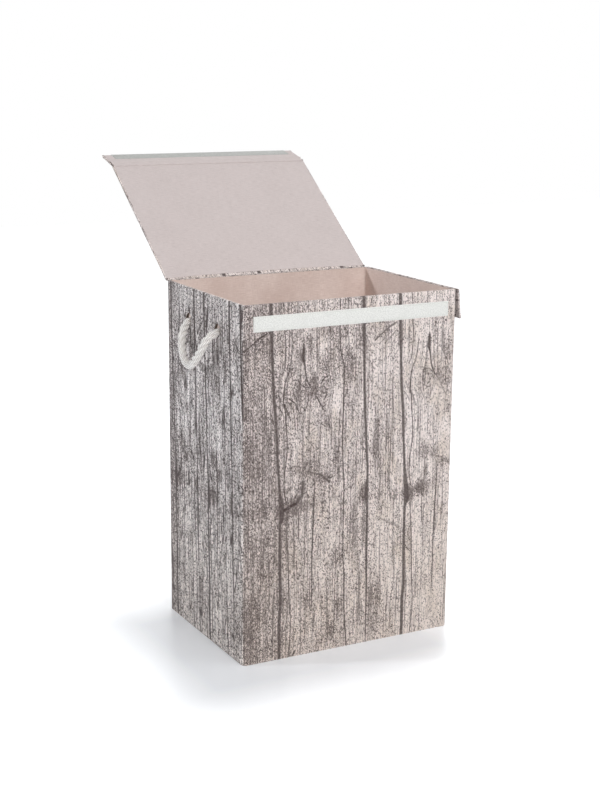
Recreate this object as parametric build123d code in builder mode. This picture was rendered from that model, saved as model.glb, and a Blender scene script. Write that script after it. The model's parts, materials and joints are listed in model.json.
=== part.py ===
from build123d import *
import os
from math import cos, pi, radians, sin, tan

# Laundry hamper with a fold-over lid, in millimetres.
# Frame: +Z up, the front faces -Y, the origin is the centre of the base's underside.
# It is modelled with the lid standing open behind it, its lip bent back, the rope
# handles hanging clear of the side walls and the floor board lying down.

# Body
width = 400.0
depth = 300.0
height = 600.0
corner_radius = 8.0
base_thickness = 1.2

# Layers of every stiffened wall, from the outside in
cover_thickness = 0.8
board_thickness = 3.0
lining_thickness = 0.7
wall_thickness = cover_thickness + board_thickness + lining_thickness

# Edges of the fabric and of the boards
rim_radius = 1.5
hem_radius = 0.5
edge_flat = 0.1  # left between the two roundings of a thin edge
lining_corner_radius = 3.5
board_corner_radius = 4.0
side_board_gap = 4.0  # the crease between the two halves of a side wall

# Clearance between pieces that move past each other
running_gap = 0.4

# Hook-and-loop tape: the same tape on the front wall and inside the lip
tape_end_gap = 18.0  # from each end of the front wall
tape_width = 25.0
tape_thickness = 1.2
tape_drop = 31.0  # from the rim down to the middle of the tape
tape_edge = 1.5  # fabric left beyond the tape at the lip's free edge

# Lid
lid_side_gap = 1.0  # the lid is this much narrower on each side than the body
lid_angle = 144.0  # opened from closed
lip_angle = 165.6  # the lip's own angle from the closed lid's plane
lining_inset = 1.5  # printed edge left showing round the lid's lining
panel_corner_radius = 3.0
hinge_strip_thickness = 0.8
hinge_strip_drop = 25.0  # how far the strip is sewn down the back wall

# Side flap on the right wall's rim
flap_length = 52.0
flap_end_gap = 2.0  # from each end of the wall
flap_thickness = 3.0
flap_angle = 8.6  # stands out from the wall

# Rope handles
rope_diameter = 14.0
rope_hole_diameter = 22.0
handle_half_span = 56.5
left_rope_drop = 57.5  # from the rim down to the rope in its hole
right_rope_drop = 72.0  # lower, so the rope clears the side flap
stub_proud = 0.5
knot_diameter = 32.0
knot_length = 24.0
knot_taper = 7.0
tail_length = 34.0  # from the knot's middle to the rope's cut end
bend_share = 0.45  # of the shorter run beside each bend that the bend takes up
dome_share = 0.96  # of the rope's radius that its domed ends are rounded by

# The bail from the front pivot to the rear one: out from the pivots, along Y, down.
# The two ends lie on the pivots, at the half span.
bail_points = [
    (12.0, -53.5, 12.0),
    (20.0, -43.5, 37.5),
    (23.0, -22.0, 58.0),
    (18.5, 4.0, 62.5),
    (15.0, 28.0, 55.5),
    (10.5, 45.0, 37.0),
    (6.0, 54.0, 18.0),
]

# Floor board in its fabric sleeve
floor_side_gap = 2.0
sleeve_thickness = 0.8
sleeve_seam = 3.0

# Worked out from the sizes above
rope_radius = rope_diameter / 2
inner_width = width - 2 * wall_thickness
inner_depth = depth - 2 * wall_thickness
lining_top = height - cover_thickness
floor_top = base_thickness + lining_thickness
board_height = height - base_thickness - cover_thickness
board_middle = base_thickness + board_height / 2
board_inset = cover_thickness + board_thickness / 2
side_board_depth = (depth - 2 * corner_radius - side_board_gap) / 2
side_board_centre = (side_board_gap + side_board_depth) / 2

tape_length = width - 2 * tape_end_gap
lid_width = width - 2 * lid_side_gap
hinge_y = depth / 2 + hinge_strip_thickness + running_gap
hinge_z = height
lid_rise = running_gap + wall_thickness  # the closed lid's cover above the rim
lid_reach = hinge_y + depth / 2 + 2 * tape_thickness + lid_rise
lid_setback = hinge_strip_thickness + 2 * running_gap
fold_setback = cover_thickness + running_gap
lip_setback = wall_thickness + running_gap
lip_tape_centre = tape_drop + lid_rise
lip_length = lip_tape_centre + tape_width / 2 + tape_edge

pivot_out = rope_radius + stub_proud + running_gap
hole_rise = rope_hole_diameter / 2 - rope_radius - running_gap
rope_heights = {-1: height - left_rope_drop, 1: height - right_rope_drop}

sleeve_height = board_thickness + 2 * sleeve_thickness
sleeve_width = inner_width - 2 * floor_side_gap
sleeve_depth = inner_depth - 2 * floor_side_gap
sleeve_middle = floor_top + running_gap + sleeve_height / 2


def fold_plane(y, z, angle):
    """A panel's own frame: origin on its fold line, -Y along the panel, +Z out of its cover.

    At an angle of 0 the panel lies as on the closed hamper.
    """
    turn = radians(angle)
    return Plane(origin=(0, y, z), x_dir=(1, 0, 0), z_dir=(0, sin(turn), cos(turn)))


lid_turn = radians(lid_angle)
lid_y = hinge_y + lid_rise * sin(lid_turn)
lid_z = hinge_z + lid_rise * cos(lid_turn)
lid_plane = fold_plane(lid_y, lid_z, lid_angle)
lip_y = lid_y - lid_reach * cos(lid_turn)
lip_z = lid_z + lid_reach * sin(lid_turn)
lip_plane = fold_plane(lip_y, lip_z, lip_angle)


def save(builder, label):
    """Label a finished piece and write it to its own file."""
    builder.part.label = label
    export_step(builder.part, f"parts/{label}.step")


def side_centre(side, inset):
    """X of a layer in a side wall, at its depth below the outer face."""
    return side * (width / 2 - inset)


# The four rope holes, as bars that reach right through the side walls.
with BuildPart() as rope_holes:
    for side in (-1, 1):
        with BuildSketch(Plane.YZ.offset(side_centre(side, wall_thickness / 2))):
            with Locations(*[(end * handle_half_span, rope_heights[side] + hole_rise) for end in (-1, 1)]):
                Circle(rope_hole_diameter / 2)
        extrude(amount=wall_thickness, both=True)


os.makedirs("parts", exist_ok=True)

# ---------------------------------------------------------------- hamper body

# The printed cover: one wrap round the four walls, turned in over the boards' top edges.
with BuildPart() as outer_cover:
    with BuildSketch(Plane.XY.offset(base_thickness)):
        RectangleRounded(width, depth, corner_radius)
    extrude(amount=height - base_thickness)
    fillet(outer_cover.edges().group_by(Axis.Z)[-1], rim_radius)
    with BuildSketch(Plane.XY.offset(base_thickness)):
        RectangleRounded(
            width - 2 * cover_thickness, depth - 2 * cover_thickness, corner_radius - cover_thickness
        )
    extrude(amount=board_height, mode=Mode.SUBTRACT)
    with BuildSketch(Plane.XY.offset(height - cover_thickness)):
        RectangleRounded(inner_width, inner_depth, lining_corner_radius)
    extrude(amount=cover_thickness, mode=Mode.SUBTRACT)
    add(rope_holes.part, mode=Mode.SUBTRACT)
save(outer_cover, "outer_cover")

with BuildPart() as base_cover:
    with BuildSketch():
        RectangleRounded(width, depth, corner_radius)
    extrude(amount=base_thickness)
    fillet(base_cover.edges().group_by(Axis.Z)[0], hem_radius)
save(base_cover, "base_cover")

with BuildPart() as floor_lining:
    with BuildSketch(Plane.XY.offset(base_thickness)):
        RectangleRounded(
            inner_width + 2 * lining_thickness,
            inner_depth + 2 * lining_thickness,
            lining_corner_radius + lining_thickness,
        )
    extrude(amount=lining_thickness)
save(floor_lining, "floor_lining")

with BuildPart() as wall_lining:
    with BuildSketch(Plane.XY.offset(floor_top)):
        RectangleRounded(
            inner_width + 2 * lining_thickness,
            inner_depth + 2 * lining_thickness,
            lining_corner_radius + lining_thickness,
        )
        RectangleRounded(inner_width, inner_depth, lining_corner_radius, mode=Mode.SUBTRACT)
    extrude(amount=lining_top - floor_top)
    add(rope_holes.part, mode=Mode.SUBTRACT)
save(wall_lining, "wall_lining")


def end_board(side):
    """The front (-1) or back (+1) wall's board, between the rounded corners."""
    with BuildPart() as board:
        with BuildSketch(Plane.XZ.offset(-side * (depth / 2 - board_inset))):
            with Locations((0, board_middle)):
                RectangleRounded(width - 2 * corner_radius, board_height, board_corner_radius)
        extrude(amount=board_thickness / 2, both=True)
    return board


def half_side_board(side, end):
    """One half of a side wall's board, with the hole that its end of the rope goes through."""
    with BuildPart() as board:
        with BuildSketch(Plane.YZ.offset(side_centre(side, board_inset))):
            with Locations((end * side_board_centre, board_middle)):
                RectangleRounded(side_board_depth, board_height, board_corner_radius)
            with Locations((end * handle_half_span, rope_heights[side] + hole_rise)):
                Circle(rope_hole_diameter / 2, mode=Mode.SUBTRACT)
        extrude(amount=board_thickness / 2, both=True)
    return board


save(end_board(-1), "front_board")
save(end_board(1), "back_board")
for side, side_name in ((-1, "left"), (1, "right")):
    for end, end_name in ((-1, "front"), (1, "rear")):
        save(half_side_board(side, end), f"{side_name}_{end_name}_board")

with BuildPart() as front_loop_strip:
    with BuildSketch(Plane.XZ.offset(depth / 2)):
        with Locations((0, height - tape_drop)):
            RectangleRounded(tape_length, tape_width, hem_radius)
    extrude(amount=tape_thickness)
    fillet(front_loop_strip.edges().group_by(Axis.Y)[0], hem_radius)
save(front_loop_strip, "front_loop_strip")

# The strip that the lid hangs from: sewn to the back wall, its top edge just under the hinge line.
with BuildPart() as lid_hinge_strip:
    strip_top = hinge_z - 2 * running_gap
    strip_height = strip_top - height + hinge_strip_drop
    with BuildSketch(Plane.XZ.offset(-depth / 2 - hinge_strip_thickness)):
        with Locations((0, strip_top - strip_height / 2)):
            Rectangle(lid_width, strip_height)
    extrude(amount=hinge_strip_thickness)
save(lid_hinge_strip, "lid_hinge_strip")

# ---------------------------------------------------------------- floor board


def sleeve_cavity_size(seam):
    """Plan of the board inside the sleeve, less a seam on the sides and the rear."""
    return sleeve_width - 2 * seam, sleeve_depth - 2 * seam


with BuildPart() as base_board:
    with BuildSketch(Plane.XY.offset(sleeve_middle)):
        Rectangle(*sleeve_cavity_size(sleeve_seam))
    extrude(amount=board_thickness / 2, both=True)
save(base_board, "base_board")

# The sleeve is open along its front edge, where the board went in.
with BuildPart() as base_board_sleeve:
    with BuildSketch(Plane.XY.offset(sleeve_middle)):
        RectangleRounded(sleeve_width, sleeve_depth, board_corner_radius)
    extrude(amount=sleeve_height / 2, both=True)
    rounded = base_board_sleeve.faces().sort_by(Axis.Z)
    fillet(rounded[0].edges() + rounded[-1].edges(), sleeve_height / 2 - edge_flat)
    cavity_width, cavity_depth = sleeve_cavity_size(sleeve_seam)
    with BuildSketch(Plane.XY.offset(sleeve_middle)):
        with Locations((0, -sleeve_seam / 2)):
            Rectangle(cavity_width, cavity_depth + sleeve_seam)
    extrude(amount=board_thickness / 2, both=True, mode=Mode.SUBTRACT)
save(base_board_sleeve, "base_board_sleeve")

# ---------------------------------------------------------------- lid and lip


def panel_pieces(plane, start, end):
    """A stiffened panel between two distances from its fold line: cover, board and lining."""
    length = end - start
    middle = -(start + end) / 2
    tray_depth = cover_thickness + board_thickness
    with BuildPart() as cover:
        with BuildSketch(plane):
            with Locations((0, middle)):
                RectangleRounded(lid_width, length, panel_corner_radius)
        extrude(amount=-tray_depth)
        with BuildSketch(plane.offset(-tray_depth)):
            with Locations((0, middle)):
                RectangleRounded(
                    lid_width - 2 * cover_thickness,
                    length - 2 * cover_thickness,
                    panel_corner_radius - cover_thickness,
                )
        extrude(amount=board_thickness, mode=Mode.SUBTRACT)
    with BuildPart() as board:
        with BuildSketch(plane.offset(-tray_depth)):
            with Locations((0, middle)):
                RectangleRounded(
                    lid_width - 2 * cover_thickness,
                    length - 2 * cover_thickness,
                    panel_corner_radius - cover_thickness,
                )
        extrude(amount=board_thickness)
    with BuildPart() as lining:
        with BuildSketch(plane.offset(-wall_thickness)):
            with Locations((0, middle)):
                RectangleRounded(
                    lid_width - 2 * lining_inset, length - 2 * lining_inset, panel_corner_radius
                )
        extrude(amount=lining_thickness)
    return cover, board, lining


lid_cover, lid_board, lid_lining = panel_pieces(lid_plane, lid_setback, lid_reach - fold_setback)
save(lid_cover, "lid_cover")
save(lid_board, "lid_board")
save(lid_lining, "lid_lining")

plain_lip_cover, lip_board, lip_lining = panel_pieces(lip_plane, lip_setback, lip_length)

# The lip's cover goes on towards the lid as a bare tongue of fabric, which is what folds.
with BuildPart() as lip_cover:
    add(plain_lip_cover.part)
    with BuildSketch(lip_plane):
        with Locations((0, -(running_gap + lip_setback + panel_corner_radius) / 2)):
            Rectangle(lid_width, lip_setback + panel_corner_radius - running_gap)
    extrude(amount=-cover_thickness)
save(lip_cover, "lip_cover")
save(lip_board, "lip_board")
save(lip_lining, "lip_lining")

with BuildPart() as lip_hook_strip:
    with BuildSketch(lip_plane.offset(-wall_thickness - tape_thickness)):
        with Locations((0, -lip_tape_centre)):
            RectangleRounded(tape_length, tape_width, hem_radius)
    extrude(amount=tape_thickness)
save(lip_hook_strip, "lip_hook_strip")

# ---------------------------------------------------------------- side flap

flap_turn = radians(flap_angle)
flap_width = depth - 2 * flap_end_gap
flap_plane = Plane(
    origin=(width / 2 + running_gap + flap_thickness / 2, 0, height - flap_thickness / 2),
    x_dir=(sin(flap_turn), 0, -cos(flap_turn)),
    z_dir=(0, -1, 0),
)

# A doubled strip of cover fabric, folded along its top and bottom edges.
with BuildPart() as side_flap:
    with BuildSketch(flap_plane):
        with Locations(((flap_length - flap_thickness) / 2, 0)):
            SlotCenterToCenter(flap_length - flap_thickness, flap_thickness)
    extrude(amount=flap_width / 2, both=True)
save(side_flap, "side_flap")

# ---------------------------------------------------------------- rope handles


def bend_radii(points):
    """Radius of the rope at each corner of its route: as large as the two runs there allow."""
    radii = []
    for before, corner, after in zip(points, points[1:], points[2:]):
        shorter = min((corner - before).length, (after - corner).length)
        turn = (corner - before).get_angle(after - corner)
        radii.append(bend_share * shorter / tan(radians(turn) / 2))
    return radii


def rope_handle(side):
    """The loop of rope that swings outside a side wall, domed where it turns on its pivots."""
    pivot_x = width / 2 + pivot_out
    offsets = [(0, -handle_half_span, 0), *bail_points, (0, handle_half_span, 0)]
    route = [Vector(side * (pivot_x + out), y, rope_heights[side] - drop) for out, y, drop in offsets]
    route[0] -= (route[1] - route[0]).normalized() * rope_radius
    route[-1] -= (route[-2] - route[-1]).normalized() * rope_radius
    radii = bend_radii(route)
    with BuildPart() as handle:
        with BuildLine() as path:
            FilletPolyline(*route, radius=radii)
        with BuildSketch(Plane(origin=path.line @ 0, z_dir=path.line % 0)):
            Circle(rope_radius)
        sweep()
        ends = [face for face in handle.faces() if face.geom_type == GeomType.PLANE]
        fillet([edge for face in ends for edge in face.edges()], dome_share * rope_radius)
    length = sum(edge.length for edge in path.edges())
    print("bend radii", [round(radius, 1) for radius in radii], "length", round(length, 1))
    print("tube volume", round(handle.part.volume), "from its length", round(pi * rope_radius**2 * length))
    return handle


def rope_end(side, end):
    """The rope through its hole, the stopper knot inside the wall and the cut tail below it."""
    rope_y, rope_z = end * handle_half_span, rope_heights[side]
    knot_face = width / 2 - wall_thickness - running_gap
    axis_plane = Plane(origin=(side * knot_face, rope_y, rope_z), x_dir=(0, 1, 0), z_dir=(-side, 0, 0))
    stub_length = width / 2 + stub_proud - knot_face
    with BuildPart() as knot:
        with BuildSketch(axis_plane):
            Circle(knot_diameter / 2)
        extrude(amount=knot_length)
        chamfer(knot.edges(), knot_taper)
        with BuildSketch(axis_plane.offset(-stub_length)):
            Circle(rope_radius)
        extrude(amount=stub_length + knot_length / 2)
        with BuildSketch(Plane.XY.offset(rope_z - tail_length)):
            with Locations((side * (knot_face - knot_length / 2), rope_y)):
                Circle(rope_radius)
        extrude(amount=tail_length)
    return knot


for side, side_name in ((-1, "left"), (1, "right")):
    save(rope_handle(side), f"{side_name}_rope_handle")
    for end, end_name in ((-1, "front"), (1, "rear")):
        save(rope_end(side, end), f"{side_name}_{end_name}_knot")
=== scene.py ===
"""Laundry hamper with a fold-over lid: printed cloth over stiff boards, a plain lining, tape and rope handles."""
import json
import logging
import math
from dataclasses import dataclass
from enum import Enum
from functools import reduce
from typing import Callable, Iterable, Iterator, Sequence, Union

import bmesh
import bpy
from mathutils import Matrix, Vector, noise


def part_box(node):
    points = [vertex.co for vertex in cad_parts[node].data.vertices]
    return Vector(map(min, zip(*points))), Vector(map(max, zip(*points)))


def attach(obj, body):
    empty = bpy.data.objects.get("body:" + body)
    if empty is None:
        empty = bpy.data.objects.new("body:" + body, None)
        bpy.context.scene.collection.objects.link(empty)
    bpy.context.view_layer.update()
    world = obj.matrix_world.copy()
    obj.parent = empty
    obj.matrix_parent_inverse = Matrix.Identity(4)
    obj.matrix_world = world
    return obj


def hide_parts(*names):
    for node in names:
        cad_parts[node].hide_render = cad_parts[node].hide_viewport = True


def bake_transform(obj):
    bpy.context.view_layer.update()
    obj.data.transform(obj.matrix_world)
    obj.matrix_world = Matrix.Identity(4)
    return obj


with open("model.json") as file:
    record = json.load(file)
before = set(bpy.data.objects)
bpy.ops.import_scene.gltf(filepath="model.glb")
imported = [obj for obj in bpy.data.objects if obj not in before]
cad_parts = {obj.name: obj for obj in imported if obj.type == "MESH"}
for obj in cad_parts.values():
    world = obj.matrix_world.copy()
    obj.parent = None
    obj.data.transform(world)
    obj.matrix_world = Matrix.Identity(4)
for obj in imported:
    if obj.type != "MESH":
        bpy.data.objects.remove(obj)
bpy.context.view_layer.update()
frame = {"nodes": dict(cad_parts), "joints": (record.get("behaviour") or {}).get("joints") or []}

CLOTH_MAP, THREAD_MAP, SIDE_FLAG = "cloth", "threads", "side"
MILLIMETRES = (1000.0, 1000.0, 1000.0)
WHITE = (1.0, 1.0, 1.0, 1.0)
X, Y, Z = range(3)

Obj = bpy.types.Object
Material = bpy.types.Material
Triple = tuple[float, float, float]
Colour = Triple
Value = Union[float, "Wire"]
Rule = Callable[[Vector, Vector, Vector], tuple[float, float]]

log = logging.getLogger("hamper")


def joint_point(name: str) -> Vector:
    """Return the point of the shared frame that a joint turns about."""
    return Vector(next(joint["pos_m"] for joint in frame["joints"] if joint["name"] == name))


# ---------------------------------------------------------------- shader graphs


def sign(operation: str, swapped: bool = False) -> Callable[["Wire", Value], "Wire"]:
    """Return a method that joins a wire and a value with a Math node.

    Args:
        operation: The node's operation.
        swapped: Whether the value comes before the wire.
    """
    def method(self: "Wire", other: Value) -> "Wire":
        """Return the node's result."""
        pair = (other, self) if swapped else (self, other)
        return self.graph.math(operation, *pair)
    return method


class Wire:
    """A value on its way through a graph, combined with Python's own signs."""

    def __init__(self, graph: "Graph", socket: bpy.types.NodeSocket) -> None:
        """Hold a node's output."""
        self.graph, self.socket = graph, socket

    __add__ = __radd__ = sign("ADD")
    __sub__, __rsub__ = sign("SUBTRACT"), sign("SUBTRACT", swapped=True)
    __mul__ = __rmul__ = sign("MULTIPLY")
    __truediv__ = sign("DIVIDE")
    __pow__ = sign("POWER")
    most = sign("MAXIMUM")

    def __abs__(self) -> "Wire":
        """Return the number without its sign."""
        return self.do("ABSOLUTE")

    def do(self, operation: str, *others: Value, clamp: bool = False) -> "Wire":
        """Return the result of a Math node that starts with this number."""
        return self.graph.math(operation, self, *others, clamp=clamp)

    @property
    def clamped(self) -> "Wire":
        """The number kept from 0 to 1."""
        return self.do("ADD", 0.0, clamp=True)

    @property
    def parts(self) -> list["Wire"]:
        """The vector's three parts."""
        split = self.graph.put("SeparateXYZ", {0: self})
        return [Wire(self.graph, socket) for socket in split.socket.node.outputs]

    def step(self, start: float, end: float, high: float = 1.0) -> "Wire":
        """Return a smooth step, 0 where the number is at the start and high where it is at the end."""
        inputs = {"Value": self, "From Min": start, "From Max": end, "To Max": high}
        return self.graph.put("MapRange", inputs, interpolation_type="SMOOTHSTEP")

    def curve(self, points: Sequence[tuple[float, float]]) -> "Wire":
        """Return the height of a drawn curve at this number, both from 0 to 1."""
        made = self.graph.put("FloatCurve", {1: self})
        mapping = made.socket.node.mapping
        line = mapping.curves[0]
        line.points[0].location, line.points[-1].location = points[0], points[-1]
        for point in points[1:-1]:
            line.points.new(*point)
        for point in line.points:
            point.handle_type = "AUTO_CLAMPED"
        mapping.update()
        return made

    def scaled(self, scale: Sequence[float], shift: Sequence[float] = (0.0, 0.0, 0.0)) -> "Wire":
        """Return the vector with each part scaled, then shifted."""
        return self.graph.put("Mapping", {"Vector": self, "Scale": scale, "Location": shift})

    def noise(self, scale: float | Sequence[float], detail: float = 2.0, rough: float = 0.5,
              shift: Sequence[float] = (0.0, 0.0, 0.0), output: int = 0) -> "Wire":
        """Return fractal noise read at this vector.

        Args:
            scale: Its frequency, one number or one for each direction.
            detail: How many finer layers it has.
            rough: How strong the finer layers are.
            shift: Where the noise is moved to, when it has a scale for each direction.
            output: 0 for a number from 0 to 1, 1 for three of them.
        """
        place, pace = (self, scale) if isinstance(scale, float) else (self.scaled(scale, shift), 1.0)
        inputs = {"Vector": place, "Scale": pace, "Detail": detail, "Roughness": rough}
        return self.graph.put("TexNoise", inputs, output)

    def mix(self, first: Union["Wire", Colour], second: Colour) -> "Wire":
        """Return a mixture of two colours in which this number is the share of the second."""
        start = first if isinstance(first, Wire) else (*first, 1.0)
        inputs = {0: self, 6: start, 7: (*second, 1.0)}
        return self.graph.put("Mix", inputs, 2, data_type="RGBA", clamp_result=True)


class Graph:
    """The nodes of a material or a world."""

    def __init__(self, owner: bpy.types.Material | bpy.types.World) -> None:
        """Start with an empty node tree."""
        owner.use_nodes = True
        self.owner, self.tree = owner, owner.node_tree
        self.tree.nodes.clear()

    def put(self, kind: str, inputs: dict | None = None, output: int | str = 0, **settings: object) -> Wire:
        """Add a shader node.

        Args:
            kind: The node's type without its ShaderNode prefix.
            inputs: Values or wires for its inputs, by name or number.
            output: Which of its outputs is wanted.
            **settings: The node's own settings.

        Returns:
            The output that is wanted.
        """
        made = self.tree.nodes.new("ShaderNode" + kind)
        for key, setting in settings.items():
            setattr(made, key, setting)
        for key, value in (inputs or {}).items():
            if isinstance(value, Wire):
                self.tree.links.new(value.socket, made.inputs[key])
            else:
                made.inputs[key].default_value = value
        return Wire(self, made.outputs[output])

    def math(self, operation: str, *values: Value, clamp: bool = False) -> Wire:
        """Combine numbers with a Math node."""
        return self.put("Math", dict(enumerate(values)), operation=operation, use_clamp=clamp)

    def vectors(self, operation: str, *values: Wire | Sequence[float]) -> Wire:
        """Combine vectors with a VectorMath node and return its vector, or its number where it makes one."""
        output = "Value" if operation in ("LENGTH", "DISTANCE", "DOT_PRODUCT") else "Vector"
        return self.put("VectorMath", dict(enumerate(values)), output, operation=operation)

    def vector(self, x: Value, y: Value) -> Wire:
        """Return a flat vector made of two numbers."""
        return self.put("CombineXYZ", {0: x, 1: y})

    def cloth_map(self, name: str = CLOTH_MAP) -> Wire:
        """Return the piece's own cloth coordinates, in millimetres across and up the cloth."""
        return self.put("UVMap", uv_map=name).scaled(MILLIMETRES)

    def place(self) -> Wire:
        """Return the point's place on the object, in millimetres."""
        return self.put("TexCoord", output="Object").scaled(MILLIMETRES)

    def seen_by(self, *rays: str) -> Wire:
        """Return 1 for the named kinds of rays and 0 for the others."""
        return most(self.put("LightPath", output=f"Is {ray} Ray") for ray in rays)

    def close(self, kind: str, surface: Wire) -> None:
        """Link a surface to an output node of a kind."""
        self.tree.links.new(surface.socket, self.tree.nodes.new("ShaderNode" + kind).inputs[0])

    def finish(self, colour: Wire, roughness: Value, height: Wire, depth: float, strength: float,
               sheen: tuple[float, float] = (0.0, 0.5), specular: float = 0.5) -> Material:
        """Close the graph with a surface.

        Args:
            colour: The base colour.
            roughness: How dull the surface is.
            height: A relief from 0 to 1.
            depth: The relief's depth in metres.
            strength: How strongly the relief shows.
            sheen: The weight and the roughness of the cloth's sheen.
            specular: How strongly the surface mirrors.

        Returns:
            The finished material.
        """
        bump = self.put("Bump", {"Height": height, "Distance": depth, "Strength": strength})
        self.close("OutputMaterial", self.put("BsdfPrincipled", {
            "Base Color": colour, "Roughness": roughness, "Normal": bump, "Sheen Weight": sheen[0],
            "Sheen Roughness": sheen[1], "Specular IOR Level": specular}))
        return self.owner


def most(values: Iterable[Wire]) -> Wire:
    """Return the greatest of several numbers."""
    return reduce(Wire.most, values)


def srgb(red: int, green: int, blue: int) -> Colour:
    """Return a colour given in display values of 0 to 255 as linear light."""
    shares = [value / 255 for value in (red, green, blue)]
    return tuple(share / 12.92 if share <= 0.04045 else ((share + 0.055) / 1.055) ** 2.4 for share in shares)


def plain_weave(cloth: Wire, pitch: float) -> Wire:
    """Return the relief of a plain weave, from 0 to 1, with its threads a pitch apart in millimetres."""
    warp, weft = [(part * (math.pi / pitch)).do("SINE") for part in cloth.parts[:2]]
    return warp * weft * 0.5 + 0.5


# ---------------------------------------------------------------- finishes


@dataclass(frozen=True)
class Crack:
    """A dark line that wanders up the print: its height, place and width at a few points, in millimetres."""

    points: tuple[Triple, ...]
    depth: float = 1.0


@dataclass(frozen=True)
class Stroke:
    """One short dark line of the print, from one place to another, in millimetres."""

    start: tuple[float, float]
    end: tuple[float, float]
    width: float
    depth: float = 1.0


@dataclass(frozen=True)
class Blot:
    """A patch where the charcoal lies thicker or thinner: its centre, its half sizes and by how much."""

    across: float
    up: float
    wide: float
    tall: float
    much: float

    def tone(self, graph: Graph, plank: Wire, up: Wire) -> Wire:
        """Return the soft patch, greatest at its centre."""
        place = graph.vector((plank - self.across) / self.wide, (up - self.up) / self.tall)
        return graph.vectors("LENGTH", place).step(1.15, 0.15, self.much)


@dataclass(frozen=True)
class Finish:
    """A finish with a light and a dark tone."""

    name: str
    light: Colour
    dark: Colour

    def graph(self) -> Graph:
        """Start the finish's material."""
        return Graph(bpy.data.materials.new(self.name))


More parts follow.
